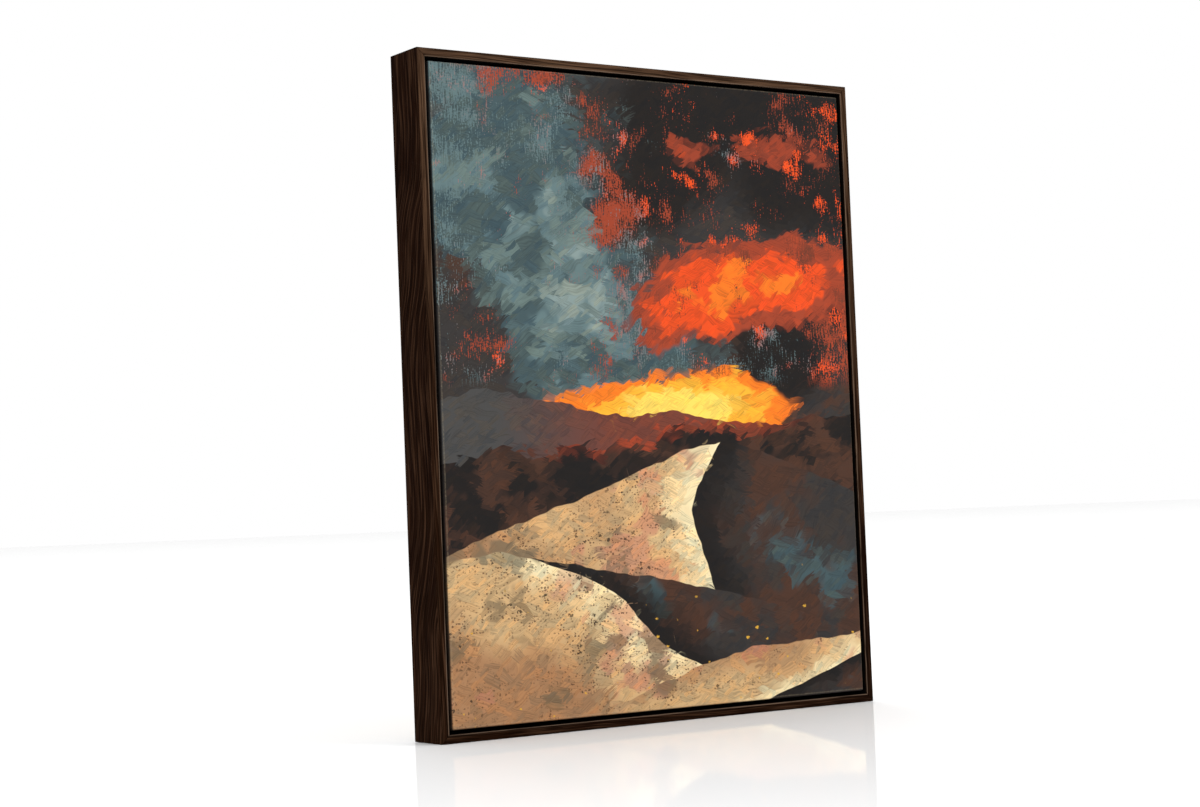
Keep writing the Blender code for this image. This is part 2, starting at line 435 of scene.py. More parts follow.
@dataclass(frozen=True)
class StainedWood:
    """Open-grained hardwood with a dark brown stain and a matt wax.

    Streaks of lighter wood, whose lightness is partly a painted sheen, dark growth lines and
    fine pores run with the grain, which leans and sways along the sides and runs nearly
    straight along the front and back. The front is painted a shade lighter as painted light,
    most of all near the top, with a painted highlight along the edge of the shadow gap, whose
    walls are painted black from a little way in, as black paint and as painted shade.
    """

    half_width: float
    height: float
    front: float
    back: float
    face: float
    shelf_reach: float
    ground: Triple = pigment(21, 8, 4)
    band: Triple = pigment(33, 17, 8)
    streak_and_sheen: Triple = pigment(68, 47, 33)
    pore: Triple = pigment(9, 4, 2)
    painted_light: Triple = pigment(94, 70, 52)
    arris_highlight: Triple = pigment(122, 102, 86)
    gap_black_and_shade: Triple = pigment(14, 12, 11)
    slant: float = 0.13
    sway: float = 0.046
    sway_rate: float = 8.0
    straightness: float = 0.85
    line_gap: float = 0.0046
    line_step: Pair = (0.35, 0.95)
    line_clouds: Pair = (0.30, 0.55)
    line_strength: float = 0.6
    streak_rate: float = 960.0
    streak_stretch: float = 0.021
    streak_step: Pair = (0.47, 0.60)
    pore_rate: float = 1500.0
    pore_stretch: float = 0.020
    pore_step: Pair = (0.55, 0.70)
    pore_shade: Pair = (0.64, 0.40)
    pore_strength: float = 0.8
    band_rate: float = 150.0
    band_step: Pair = (0.55, 0.95)
    cloud_rate: float = 11.0
    face_skin: Pair = (0.0004, 0.0001)
    front_skin: Pair = (0.0007, 0.0001)
    top_light_from: float = 0.30
    top_light_least: float = 0.05
    arris_streaks: float = 0.0008
    arris_clouds: float = 0.0006
    arris_strength: float = 0.6
    bare_lip: float = 0.0014
    bare_back: float = 0.0008
    soft: float = 0.0003
    relief: float = 0.00022
    refraction: float = 1.03
    roughness: float = 0.46

    def material(self, name: str, axis: Axis, shift: float) -> bpy.types.Material:
        """Make the finish for rails that run one way.

        Args:
            name: the material's name.
            axis: which way the rail runs.
            shift: moves the grain along and across, so that no two rails match.

        Returns:
            The material.
        """
        graph = Finish(name)
        along, across, depth = along_grain(graph, axis)

        # The place across the grain, read on whichever face the point lies, leans and sways.
        on_flat = self.on_flat(graph)
        over_face = depth.towards(across, on_flat)
        layer = on_flat + shift
        swung = graph.noise(graph.joined(along, layer, over_face * 0.5), self.sway_rate, 1.0)
        lean = (swung - 0.5) * self.sway + along * self.slant
        grain = over_face + lean * (1.0 - on_flat * self.straightness)

        streaks = self.fibres(graph, grain, layer, along, self.streak_rate, self.streak_stretch)
        pores = self.fibres(graph, grain, layer, along, self.pore_rate, self.pore_stretch)
        bands = graph.noise(graph.joined(grain, layer, along * 0.05), self.band_rate, 2.0, 0.6)
        clouds = graph.noise(graph.place(), self.cloud_rate, 2.0)
        lines = (grain * (2.0 * math.pi / self.line_gap) + bands * 7.0 + streaks * 1.5).wave()

        # Streaks are light, as wood and as painted sheen, where bands and clouds are strong and no
        # pore is near.
        strength = bands * 0.9 + clouds * 0.8 - 0.20
        bright = streaks.rise(*self.streak_step) * strength * pores.rise(*self.pore_shade)
        open_pores = pores.rise(*self.pore_step)
        tone = graph.mix(self.ground, self.band, (bands + clouds * 0.5).rise(*self.band_step))
        tone = graph.mix(tone, self.streak_and_sheen, bright)
        tone = self.painted_front_light(graph, tone, streaks, clouds)
        dark_lines = lines.rise(*self.line_step) * clouds.rise(*self.line_clouds) * self.line_strength
        tone = graph.mix(tone, self.pore, dark_lines.most(open_pores * self.pore_strength))
        # The gap's walls are black, as black paint and as painted shade.
        painted = self.gap_paint_and_shade(graph)
        tone = graph.mix(tone, self.gap_black_and_shade, painted)
        return graph.dress(
            {
                "Base Color": tone,
                "Roughness": self.roughness + streaks * 0.14 + open_pores * 0.2 + painted * 0.2,
                "Normal": graph.bump(streaks * 0.6 - open_pores * 0.7, self.relief),
                "IOR": self.refraction,
            }
        )

    def fibres(
        self, graph: Graph, across: Signal, layer: Signal, along: Signal, rate: float, stretch: float
    ) -> Signal:
        """Noise drawn out along the grain.

        Args:
            graph: the material's graph.
            across: the place across the grain.
            layer: a number that parts the front and back from the sides, and rail from rail.
            along: the place along the grain.
            rate: the fibres to the metre.
            stretch: a fibre's width over its length.

        Returns:
            A number about 0.5.
        """
        return graph.noise(graph.joined(across, layer, along * stretch), rate, 1.0, 0.5)

    def on_flat(self, graph: Graph) -> Signal:
        """1 on the rails' front and back, 0 on their sides."""
        _, from_front = self.inset(graph)
        from_back = (self.back - self.front) - from_front
        return from_front.least(from_back).rise(*self.face_skin)

    def inset(self, graph: Graph) -> Tuple[Signal, Signal]:
        """How far in from the frame's outline and back from its front a point lies."""
        x, y, z = graph.parts(graph.place())
        return (self.half_width - abs(x)).least(z).least(self.height - z), y - self.front

    def painted_front_light(self, graph: Graph, below: Socket, streaks: Signal, clouds: Signal) -> Socket:
        """Lighten the rails' front edge towards the top as painted light, with a painted highlight on
        its arris at the shadow gap.

        Args:
            graph: the material's graph.
            below: the wood's colour.
            streaks: its streaks from 0 to 1, which the painted light follows.
            clouds: its slow clouds from 0 to 1.

        Returns:
            The colour with the painted light.
        """
        inset, from_front = self.inset(graph)
        _, _, z = graph.parts(graph.place())
        on_front = from_front.rise(*self.front_skin)
        high_up = z.rise(self.height * self.top_light_from, self.height)
        high_up = high_up * (1.0 - self.top_light_least) + self.top_light_least
        # Painted light: the front is lighter towards the top.
        top_light = (streaks * 1.7 + clouds * 0.4 - 0.58) * high_up
        tone = graph.mix(below, self.painted_light, on_front * top_light.most(0.0))
        # Painted highlight along the front's arris at the shadow gap.
        highlight_reach = streaks * self.arris_streaks + clouds * self.arris_clouds
        gap_edge = (self.face - inset + from_front - highlight_reach).rise(self.soft, -self.soft)
        return graph.mix(tone, self.arris_highlight, gap_edge * on_front * self.arris_strength)

    def gap_paint_and_shade(self, graph: Graph) -> Signal:
        """Where the rails are black, as black paint and as painted shade: inside the gap and on the
        shelf, but not on the back.
        """
        inset, from_front = self.inset(graph)
        from_back = (self.back - self.front) - from_front
        shelf_edge = self.face + self.shelf_reach
        inner = inset.rise(*(self.face - skin for skin in self.face_skin))
        in_gap = inner * from_front.rise(self.bare_lip, self.bare_lip + self.soft)
        on_shelf = inset.rise(shelf_edge, shelf_edge - 2 * self.soft)
        return in_gap * on_shelf * from_back.rise(self.soft, self.bare_back)


@dataclass(frozen=True)
class BareWood:
    """Planed softwood: pale yellow bands with darker late wood, fine fibres and a few knots."""

    early: Triple = pigment(226, 196, 150)
    late: Triple = pigment(196, 150, 98)
    knot: Triple = pigment(146, 94, 56)
    rim: Triple = pigment(98, 62, 38)
    grime: Triple = pigment(176, 150, 118)
    ring_gap: float = 0.0042
    knot_gap: float = 0.17
    knot_rate: float = 16.0
    knot_edge: Pair = (0.085, 0.060)
    knot_heart: float = 0.030
    rim_edge: Pair = (0.105, 0.075)
    swell_reach: float = 0.55
    whorl_rate: float = 190.0
    bend_rate: float = 12.0
    fibre_rate: float = 1400.0
    blotch_rate: float = 26.0
    grime_step: Pair = (0.62, 0.95)
    relief: float = 0.00012
    roughness: float = 0.62

    def material(self, name: str, axis: Axis, shift: float) -> bpy.types.Material:
        """Make the finish for bars that run one way.

        Args:
            name: the material's name.
            axis: which way the bar runs.
            shift: moves the grain, so that no two bars match.

        Returns:
            The material.
        """
        graph = Finish(name)
        along, across, depth = along_grain(graph, axis)
        bent = graph.noise(graph.joined(along * 0.3, across, depth + shift), self.bend_rate, 2.0)

        # Knots: one to each stretch of the bar, at a place drawn from the Voronoi cells.
        wide = self.knot_rate
        knot_place = graph.joined(along / self.knot_gap + shift, across * wide, depth * wide)
        cells = {"Vector": knot_place, "Scale": 1.0}
        knots = graph.number(graph.node("ShaderNodeTexVoronoi", {"feature": "F1"}, cells), "Distance")
        swell = knots.rise(self.swell_reach, 0.0)
        whorl = (knots * self.whorl_rate + bent * 9.0).wave() * 0.5 + 0.5

        rings = (across * 0.8 + depth * 0.45 + bent * 0.030) / self.ring_gap + swell * 3.0
        band = ((rings * (2.0 * math.pi)).wave() * 0.5 + 0.5) ** 3.0
        fibres = graph.noise(
            graph.joined(across, depth, along * 0.03 + shift), self.fibre_rate, 2.0, 0.6
        )
        blotches = graph.noise(graph.place(), self.blotch_rate, 3.0, 0.6)
        frayed = knots + (fibres - 0.5) * 0.020 + (blotches - 0.5) * 0.050
        knot, rim = frayed.rise(*self.knot_edge), frayed.rise(*self.rim_edge)

        tone = graph.mix(self.early, self.late, band * 0.75 + fibres * 0.25)
        tone = graph.mix(tone, self.grime, (blotches + fibres * 0.4).rise(*self.grime_step) * 0.5)
        tone = graph.mix(tone, self.rim, rim * 0.8)
        tone = graph.mix(tone, self.knot, knot * (fibres * 0.8 + 0.35))
        heart = knots.rise(self.knot_heart, 0.0)
        tone = graph.mix(tone, self.rim, knot * (whorl * 0.55 + heart * 0.4))
        return graph.dress(
            {
                "Base Color": tone,
                "Roughness": self.roughness + fibres * 0.2 - band * 0.08,
                "Normal": graph.bump(fibres * 0.6 + band * 0.4, self.relief),
            }
        )


@dataclass(frozen=True)
class ZincSteel:
    """Bright zinc-plated steel with fine scratches and a few duller clouds."""

    bright: Triple = pigment(168, 168, 164)
    dull: Triple = pigment(112, 111, 108)
    cloud_rate: float = 900.0
    cloud_step: Pair = (0.35, 0.7)
    scratch_rates: Triple = (9000.0, 2200.0, 700.0)
    relief: float = 0.00002
    roughness: float = 0.24

    def material(self, name: str) -> bpy.types.Material:
        """Make the finish.

        Args:
            name: the material's name.

        Returns:
            The material.
        """
        graph = Finish(name)
        clouds = graph.noise(graph.place(), self.cloud_rate, 3.0, 0.6)
        scratches = graph.noise(graph.vector("MULTIPLY", graph.place(), self.scratch_rates), 1.0, 2.0)
        return graph.dress(
            {
                "Base Color": graph.mix(self.dull, self.bright, clouds.rise(*self.cloud_step)),
                "Roughness": self.roughness + clouds * 0.14 + scratches * 0.14,
                "Metallic": 1.0,
                "Normal": graph.bump(scratches, self.relief),
            }
        )


class Paint(Enum):
    """The colours of the picture, as a screen shows them."""

    SOOT = (30, 27, 26)
    CHARCOAL = (54, 51, 50)
    UMBER = (74, 50, 39)
    SLATE = (66, 84, 88)
    TEAL = (96, 118, 120)
    MIST = (140, 156, 152)
    RUST = (158, 66, 42)
    VERMILION = (226, 78, 30)
    ORANGE = (246, 124, 34)
    AMBER = (252, 176, 52)
    YELLOW = (255, 214, 96)
    ROSE = (190, 122, 100)
    TAN = (166, 124, 88)
    SAND = (206, 170, 122)
    CREAM = (240, 222, 176)
    OLIVE = (108, 96, 76)
    GOLD = (214, 164, 58)

    @property
    def linear(self) -> Triple:
        """The colour as a shader takes it."""
        return pigment(*self.value)


def inside(reach: Signal, edge: float = 0.001) -> Signal:
    """1 where a reach is above 0 and 0 below, with an edge in shares of the picture's height."""
    return reach.rise(-edge, edge)


@dataclass(frozen=True)
class Field:
    """A place in the picture, in shares of its height, with the noises read there.

    Attributes:
        graph: the material's graph.
        x: the place across, from -0.4 to 0.4.
        y: the place up, from 0 to 1.
        broad: three slow noises about 0.
        fine: three quick ones about 0.
    """

    graph: Graph
    x: Signal
    y: Signal
    broad: Tuple[Signal, ...]
    fine: Tuple[Signal, ...]

    @classmethod
    def at(cls, graph: Graph, place: Socket, broad: Socket, fine: Socket) -> "Field":
        """Take a place apart, and the colours of the slow and the quick noise there."""
        x, y, _ = graph.parts(place)
        middled = [tuple(noise - 0.5 for noise in graph.channels(colour)) for colour in (broad, fine)]
        return cls(graph, x, y, *middled)

    def lay(self, below: Colour, paint: Paint, share: Number) -> Socket:
        """Lay a paint over a colour, by a share from 0 to 1."""
        return self.graph.mix(below, paint.linear, share)


@dataclass(frozen=True)
class Coat:
    """A paint that is laid where a signal and the weighted noises add up past a step.

    Attributes:
        paint: the paint.
        starts: the sum where it starts to show.
        covers: the sum where it covers.
        strength: how much it then covers, from 0 to 1.
        broad: the weights of the three slow noises.
        fine: the weights of the three quick ones.
        up: the weight of the place up.
        across: the weight of the place across.
    """

    paint: Paint
    starts: float
    covers: float
    strength: float = 1.0
    broad: Triple = (0.0, 0.0, 0.0)
    fine: Triple = (0.0, 0.0, 0.0)
    up: float = 0.0
    across: float = 0.0

    def over(
        self, field: Field, below: Colour, signal: Number = 0.0, within: Number = 1.0
    ) -> Socket:
        """Lay the coat over a colour.

        Args:
            field: the place.
            below: the colour so far.
            signal: what the weighted noises are added to.
            within: 1 where the coat may lie, 0 where it may not.

        Returns:
            The colour with the coat.
        """
        weights = self.broad + self.fine + (self.up, self.across)
        for weight, part in zip(weights, field.broad + field.fine + (field.y, field.x)):
            if weight:
                signal = part * weight + signal
        share = signal.rise(self.starts, self.covers) * self.strength
        return field.lay(below, self.paint, share * within)


def laid_over(coats: Sequence[Coat], field: Field, below: Colour, signal: Number = 0.0) -> Socket:
    """Lay some coats over a colour, one after another, all by the same signal."""
    for coat in coats:
        below = coat.over(field, below, signal)
    return below


@dataclass(frozen=True)
class Cloud:
    """A ragged patch: a leaning ellipse whose edge the noises push about.

    Attributes:
        x: its middle across.
        y: its middle up.
        half_width: its reach across.
        half_height: its reach up.
        lean: how far its top leans over, against its height.
        broad: how far the slow noise pushes the edge.
        fine: how far the quick one does.
        channel: which of the slow noises does it, where the next of the quick ones joins in.
        coats: its paints, which pass their steps one after another from the edge inwards.
    """

    x: float
    y: float
    half_width: float
    half_height: float
    lean: float
    broad: float
    fine: float
    channel: int
    coats: Tuple[Coat, ...]

    def away(self, field: Field) -> Signal:
        """How far out from its middle a place lies, where 1 is the edge.

        The root of the two squared distances over the reaches, plus the noises.
        """
        up = field.y - self.y
        across = (field.x - up * self.lean - self.x) / self.half_width
        up = up / self.half_height
        following = (self.channel + 1) % len(field.fine)
        pushed = field.broad[self.channel] * self.broad + field.fine[following] * self.fine
        return (across * across + up * up) ** 0.5 + pushed

    def paint(self, field: Field, below: Socket, away: Signal) -> Socket:
        """Lay the coats over what is behind, each where the way out from the middle allows."""
        return laid_over(self.coats, field, below, away)


@dataclass(frozen=True)
class Crest:
    """The outline of a hill: a peak, a slope on either side, a slow wave and a rough edge.

    Attributes:
        peak: the peak's place across.
        height: its height.
        fall: how steeply the slopes fall.
        swell: the wave's height.
        rate: how quickly it runs, in radians over the picture's height.
        rough: how far the quick noise pushes the edge.
        power: how much the slopes steepen with the distance.
    """

    peak: float
    height: float
    fall: float
    swell: float
    rate: float
    rough: float
    power: float = 1.25

    def over(self, field: Field) -> Signal:
        """How far the outline stands over a place, less than 0 above the hill.

        The height, less the fall times a power of the distance from the peak, plus a sine
        wave and the quick noise, less the place's own height.
        """
        slope = abs(field.x - self.peak) ** self.power * self.fall
        wave = (field.x * self.rate).wave() * self.swell
        return wave - slope + field.fine[0] * self.rough + self.height - field.y


@dataclass(frozen=True)
class Dune:
    """A dune with a brink that winds down from its peak between a lit face and a dark one.

    Attributes:
        crest: its outline.
        drift: how far across the brink runs on its way down, against the height.
        bend: how far it swings to either side.
        turns: how quickly it swings, in radians over the picture's height.
        glow: how far the lit face keeps its brightest paint.
        rough: how far the quick noise pushes the brink.
        fade: how far past the glow the lit face takes to darken.
        patches: the coats that break up the lit face.
        shade: the dark face's first coat.
        sheen: its cool one.
        sheen_growth: how much more sheen there is away from the brink.
        brim: its darkest one, along the brink.
    """

    crest: Crest
    drift: float
    bend: float
    turns: float
    glow: float
    rough: float = 0.02
    fade: float = 0.24
    patches: Tuple[Coat, ...] = (
        Coat(Paint.ROSE, 0.10, 0.22, 0.6, broad=(0.0, 0.0, 1.0), fine=(1.0, 0.0, 0.0)),
        Coat(Paint.OLIVE, 0.10, 0.24, 0.75, broad=(0.7, 0.0, 0.0), fine=(0.0, 0.0, 1.0)),
    )
    shade: Coat = Coat(Paint.UMBER, -0.10, 0.18, broad=(0.0, 0.0, 1.0), fine=(0.0, 1.0, 0.0))
    sheen: Coat = Coat(Paint.SLATE, 0.14, 0.30, broad=(1.0, 0.0, 0.0), fine=(0.5, 0.0, 0.0))
    sheen_growth: float = 0.4
    brim: Coat = Coat(Paint.SOOT, -0.12, -0.01)

    def paint(self, field: Field, below: Socket, part: Signal, number: int) -> Tuple[Socket, Signal]:
        """Lay the dune over what is behind it.

        Args:
            field: the place.
            below: the colour so far.
            part: the number of the part that the place belongs to so far.
            number: the dark face's own number, with the lit face's one higher.

        Returns:
            The colour and the part with the dune.
        """
        down = self.crest.height - field.y
        swing = (down * self.turns).wave() * self.bend
        brink = down * self.drift + swing + field.fine[2] * self.rough + self.crest.peak
        lit = brink - field.x
        lit_coats = (
            Coat(Paint.SAND, 0.0, self.glow, fine=(0.0, 0.16, 0.0)),
            Coat(Paint.TAN, self.glow, self.glow + self.fade, broad=(0.0, 0.7, 0.0)),
        )
        sun = laid_over(lit_coats, field, Paint.CREAM.linear, lit)
        sun = laid_over(self.patches, field, sun)
        shade = self.shade.over(field, Paint.CHARCOAL.linear)
        shade = self.sheen.over(field, shade, lit * -self.sheen_growth)
        shade = self.brim.over(field, shade, lit)
        on_sun, on_dune = inside(lit), inside(self.crest.over(field))
        tone = field.graph.mix(below, field.graph.mix(shade, sun, on_sun), on_dune)
        return tone, part.towards(on_sun + float(number), on_dune)


@dataclass(frozen=True)
class DuskDunes:
    """A generic design for the picture: lit dunes under a storm sky at dusk."""

    skyline: float = 0.45
    broad_rate: float = 3.4
    fine_rate: float = 14.0
    rent: Cloud = Cloud(
        x=-0.20, y=0.76, half_width=0.150, half_height=0.44, lean=-0.40, broad=1.5, fine=1.3,
        channel=0,
        coats=(Coat(Paint.SLATE, 1.35, 0.95),),
    )
    bank: Cloud = Cloud(
        x=0.20, y=0.665, half_width=0.250, half_height=0.085, lean=1.1, broad=1.3, fine=1.0,
        channel=1,
        coats=(
            Coat(Paint.RUST, 1.08, 0.92),
            Coat(Paint.VERMILION, 0.72, 0.56, fine=(1.3, 0.0, 0.0)),
            Coat(Paint.ORANGE, 0.22, 0.08, 0.8, fine=(0.0, 0.0, 1.6)),
        ),
    )
    embers: Cloud = Cloud(
        x=0.24, y=0.900, half_width=0.150, half_height=0.028, lean=1.6, broad=2.0, fine=1.8,
        channel=2,
        coats=(
            Coat(Paint.RUST, 0.95, 0.75, 0.85),
            Coat(Paint.VERMILION, 0.35, 0.20, 0.85),
        ),
    )
    glow: Cloud = Cloud(
        x=0.02, y=0.472, half_width=0.230, half_height=0.052, lean=0.0, broad=1.1, fine=0.7,
        channel=0,
        coats=(
            Coat(Paint.ORANGE, 1.10, 0.92),
            Coat(Paint.AMBER, 0.80, 0.62),
            Coat(Paint.YELLOW, 0.48, 0.32),
        ),
    )
    far_ridge: Crest = Crest(-0.26, 0.496, 0.16, 0.012, 13.0, 0.030)
    near_ridge: Crest = Crest(0.34, 0.462, 0.10, 0.010, 17.0, 0.045)
    overcast: Tuple[Coat, ...] = (
        Coat(Paint.UMBER, 0.02, 0.26, broad=(0.0, 0.0, 1.0), fine=(0.0, 1.0, 0.0)),
        Coat(Paint.SOOT, 0.42, 0.60, broad=(0.0, 1.0, 0.0), up=0.5, across=0.4),
    )
    light: Coat = Coat(Paint.TEAL, -0.16, 0.0, broad=(0.0, 0.8, 0.0), fine=(0.0, 0.0, 1.0))
    lightest: Coat = Coat(Paint.MIST, 0.02, 0.15, 0.7, broad=(0.0, 0.8, 0.0), fine=(0.0, 0.0, 1.0))
    light_reach: Pair = (1.0, 0.8)
    lightest_reach: Pair = (0.85, 0.6)
    light_fall: float = 0.16
    rock: Coat = Coat(Paint.UMBER, -0.10, 0.10, fine=(0.0, 1.0, 0.0))
    lit_rim: Coat = Coat(Paint.RUST, 0.020, 0.0)
    warmth: float = 0.75
    warmth_reach: Pair = (0.34, 0.05)
    haze: float = 0.5
    dunes: Tuple[Dune, ...] = (
        Dune(Crest(0.12, 0.415, 0.37, 0.006, 11.0, 0.016), -0.20, -0.038, 17.0, 0.10),
        Dune(Crest(-0.30, 0.262, 0.26, 0.008, 9.0, 0.016), 2.10, 0.050, 26.0, 0.14),
        Dune(Crest(0.50, 0.120, 0.18, 0.010, 12.0, 0.016), -2.3, 0.030, 34.0, 0.10),
    )

    def group(self) -> bpy.types.NodeTree:
        """Make a node group of the design.

        Returns:
            A group that takes a Place and gives its Colour, the Broad and Fine noise there, and
            as Part the number of the part of the design that it lies in: 0 in the sky, 1 on a
            ridge, more on a dune.
        """
        tree = bpy.data.node_groups.new("dusk_dunes", "ShaderNodeTree")
        tree.interface.new_socket("Place", in_out="INPUT", socket_type="NodeSocketVector")
        for name in ("Colour", "Broad", "Fine"):
            tree.interface.new_socket(name, in_out="OUTPUT", socket_type="NodeSocketColor")
        tree.interface.new_socket("Part", in_out="OUTPUT", socket_type="NodeSocketFloat")
        graph = Graph(tree)
        place = graph.node("NodeGroupInput", {}, {}).outputs["Place"]
        broad = graph.noises(place, self.broad_rate, 1.0, 0.5, flat=True).outputs[1]
        fine = graph.noises(place, self.fine_rate, 2.0, 0.6, flat=True).outputs[1]
        field = Field.at(graph, place, broad, fine)
        tone = self.fire(field, self.sky(field))
        tone, part = self.ridges(field, tone)
        for index, dune in enumerate(self.dunes):
            tone, part = dune.paint(field, tone, part, 2 * index + 2)
        graph.node("NodeGroupOutput", {}, {"Colour": tone, "Broad": broad, "Fine": fine, "Part": part})
        return tree

    def sky(self, field: Field) -> Socket:
        """Charcoal cloud with a leaning rent of slate and teal in it."""
        tone = laid_over(self.overcast, field, Paint.CHARCOAL.linear)
        rent = self.rent.away(field)
        tone = self.rent.paint(field, tone, rent)
        fall = rent * -self.light_fall
        tone = self.light.over(field, tone, fall, rent.rise(*self.light_reach))
        return self.lightest.over(field, tone, fall, rent.rise(*self.lightest_reach))

    def fire(self, field: Field, below: Socket) -> Socket:
        """A burning cloud bank at the right, embers over it and the sun's glow below."""
        for cloud in (self.bank, self.embers, self.glow):
            below = cloud.paint(field, below, cloud.away(field))
        return below

    def ridges(self, field: Field, below: Socket) -> Tuple[Socket, Signal]:
        """Two dark ridges on the skyline, rusty near the glow, and where they lie."""
        far, near = self.far_ridge.over(field), self.near_ridge.over(field)
        warm = abs(field.x - self.glow.x).rise(*self.warmth_reach)
        dusk = field.lay(Paint.SLATE.linear, Paint.RUST, warm * self.warmth)
        in_far, in_near = inside(far), inside(near)
        tone = field.graph.mix(below, field.lay(dusk, Paint.UMBER, self.haze), in_far)
        dusk = self.lit_rim.over(field, self.rock.over(field, Paint.SOOT.linear), near, warm)
        return field.graph.mix(tone, dusk, in_near), in_far.most(in_near)


@dataclass(frozen=True)
class Brush:
    """One round of dabs over the whole picture, in shares of the picture's height.

    Attributes:
        length: a dab's length.
        width: its width.
        angle: which way it runs, in degrees from level.
        cover: the share of the places that get a dab.
        load: how thickly a dab covers what is under it.
        shift: moves this round's dabs off the others'.
    """

    length: float
    width: float
    angle: float
    cover: float
    load: float
    shift: float


@dataclass(frozen=True)
class PaintedCloth:
    """Primed and painted canvas, raw where the paint stops behind the bars.

    The design is laid down as it is and then gone over with rounds of dabs. Each dab is a
    cell of stretched Voronoi noise that takes the design's colour at its own middle, and dry
    bristles break its ends and streak it. Dry paint is dragged over that, and specks of it
    are spattered on top. The sides are painted dark as painted shade, so that they recede in
    the shadow gap, and a painted highlight runs along the front fold.
    """

    width: float
    height: float
    depth: float
    design: DuskDunes = DuskDunes()
    cool: Triple = (0.80, 0.88, 0.96)
    warm: Triple = (1.26, 1.12, 0.96)
    raw: Triple = pigment(222, 210, 186)
    raw_shade: Triple = pigment(186, 170, 140)
    thread_gap: float = 0.00062
    thread_shade: float = 0.24
    relief: float = 0.00011
    off_centre: Pair = (0.0007, 0.0006)
    fold_line: float = 0.0012
    fold_highlight: Pair = (0.0009, 0.0002)
    fold_highlight_strength: float = 0.2
    side_painted_shade: float = 0.92
    paint_overlap: float = 0.004
    paint_stray: float = 0.006
    paint_edge: float = 0.0006
    bristle_rates: Triple = (560.0, 46.0, 0.0)
    bristle_waver: Pair = (5.0, 2.0)
    hair_rates: Triple = (0.7, 9.0, 0.0)
    dark_red: Pair = (0.16, 0.08)
    light_red: Pair = (0.22, 0.40)
    glowing_red: Pair = (0.10, 0.30)
    sky_edge: Pair = (0.05, 0.10)
    gold_below: Pair = (0.26, 0.10)
    grit_step: Pair = (-0.25, 0.20)
    grit_strength: float = 0.85
    grit_edge: float = 0.03
    dab_edge: Pair = (0.52, 0.46)
    end_fray: float = 0.7
    side_fray: float = 0.3
    dry_hairs: Pair = (0.60, 0.25)
    dry_strength: float = 0.35
    tooth_rate: float = 330.0
    specular: float = 0.09
    roughness: float = 0.52
    grit: Spatter = Spatter(gap=0.0044, cover=0.50, size=0.40)
    crumbs: Spatter = Spatter(gap=0.013, cover=0.26, size=0.24)
    flecks: Spatter = Spatter(gap=0.017, cover=0.08, size=0.15)
    scumbles: Tuple[Coat, ...] = (
        Coat(Paint.RUST, 1.05, 1.16, 0.9, (1.1, 0.0, 0.0), (0.0, 1.3, 0.0), across=0.25),
        Coat(Paint.VERMILION, 1.30, 1.40, fine=(1.6, 0.0, 1.6), across=0.30),
        Coat(Paint.TEAL, 1.12, 1.26, 0.8, (0.0, 0.0, 1.1), (1.2, 0.0, 0.0), across=-0.60),
    )
    char: Coat = Coat(Paint.UMBER, 1.13, 1.20, 0.85, (0.0, -0.8, 0.0), (1.8, 0.0, 0.0))
    rounds: Tuple[Brush, ...] = (
        Brush(0.076, 0.027, 24.0, 0.74, 0.85, 3.1),
        Brush(0.040, 0.014, -20.0, 0.62, 0.86, 11.7),
        Brush(0.022, 0.0075, 38.0, 0.48, 0.90, 23.3),
    )

    def material(self, name: str) -> bpy.types.Material:
        """Make the finish.

        Args:
            name: the material's name.

        Returns:
            The material.
        """
        graph = Finish(name)
        cloth = graph.flat(StretchedCanvas.UV_LAYER)
        place = graph.vector("MULTIPLY", cloth, (1.0 / self.height,) * 2 + (0.0,))
        design = self.design.group()
        base = graph.node("ShaderNodeGroup", {"node_tree": design}, {"Place": place})
        field = Field.at(graph, place, base.outputs["Broad"], base.outputs["Fine"])
        tone, part = base.outputs["Colour"], graph.number(base, "Part")
        for brush in self.rounds:
            tone, hairs = self.dabs(field, tone, part, place, design, brush)

        # Dry paint and specks, which catch on the bristle marks and the ground's tooth.
        waver = graph.joined(*(noise * far for noise, far in zip(field.fine, self.bristle_waver)))
        marks = graph.vector("MULTIPLY_ADD", place, self.bristle_rates, waver)
        streaks = graph.noise(marks, 1.0, 1.0, 0.6, flat=True)
        tooth = graph.noise(place, self.tooth_rate, 1.0, 0.5, flat=True)
        tone = self.scumbled(field, tone, streaks, tooth)
        tone = self.specks(field, tone, place, tooth)

        # A painted highlight along the fold, the shade between threads, painted shade on the dark
        # sides, and bare cloth past the paint.
        beyond = self.beyond_edge(graph, cloth)
        weave = plain_weave(graph, cloth, self.thread_gap, 0.5)
        # Painted highlight: a light line along the front fold.
        painted_light = abs(beyond + self.fold_line).rise(*self.fold_highlight) * (tooth * 1.4 - 0.25)
        tone = graph.mix(tone, self.raw_shade, painted_light * self.fold_highlight_strength)
        tone = graph.mix(tone, (0.0, 0.0, 0.0), (0.5 - weave) * self.thread_shade)
        # Painted shade: the sides are dark in the shadow gap.
        on_shaded_side = beyond.rise(-self.paint_edge, self.paint_edge)
        tone = graph.mix(tone, Paint.SOOT.linear, on_shaded_side * self.side_painted_shade)
        last_paint = self.depth + self.paint_overlap
        strayed = beyond + field.fine[0] * self.paint_stray
        bare = strayed.rise(last_paint - self.paint_edge, last_paint)
        tone = graph.mix(tone, graph.mix(self.raw, self.raw_shade, tooth * (1.0 - weave)), bare)
        return graph.dress(
            {
                "Base Color": tone,
                "Roughness": self.roughness + hairs * 0.12 + streaks * 0.10 + bare * 0.25,
                "Normal": graph.bump(weave, self.relief),
                "Specular IOR Level": self.specular,
            }
        )

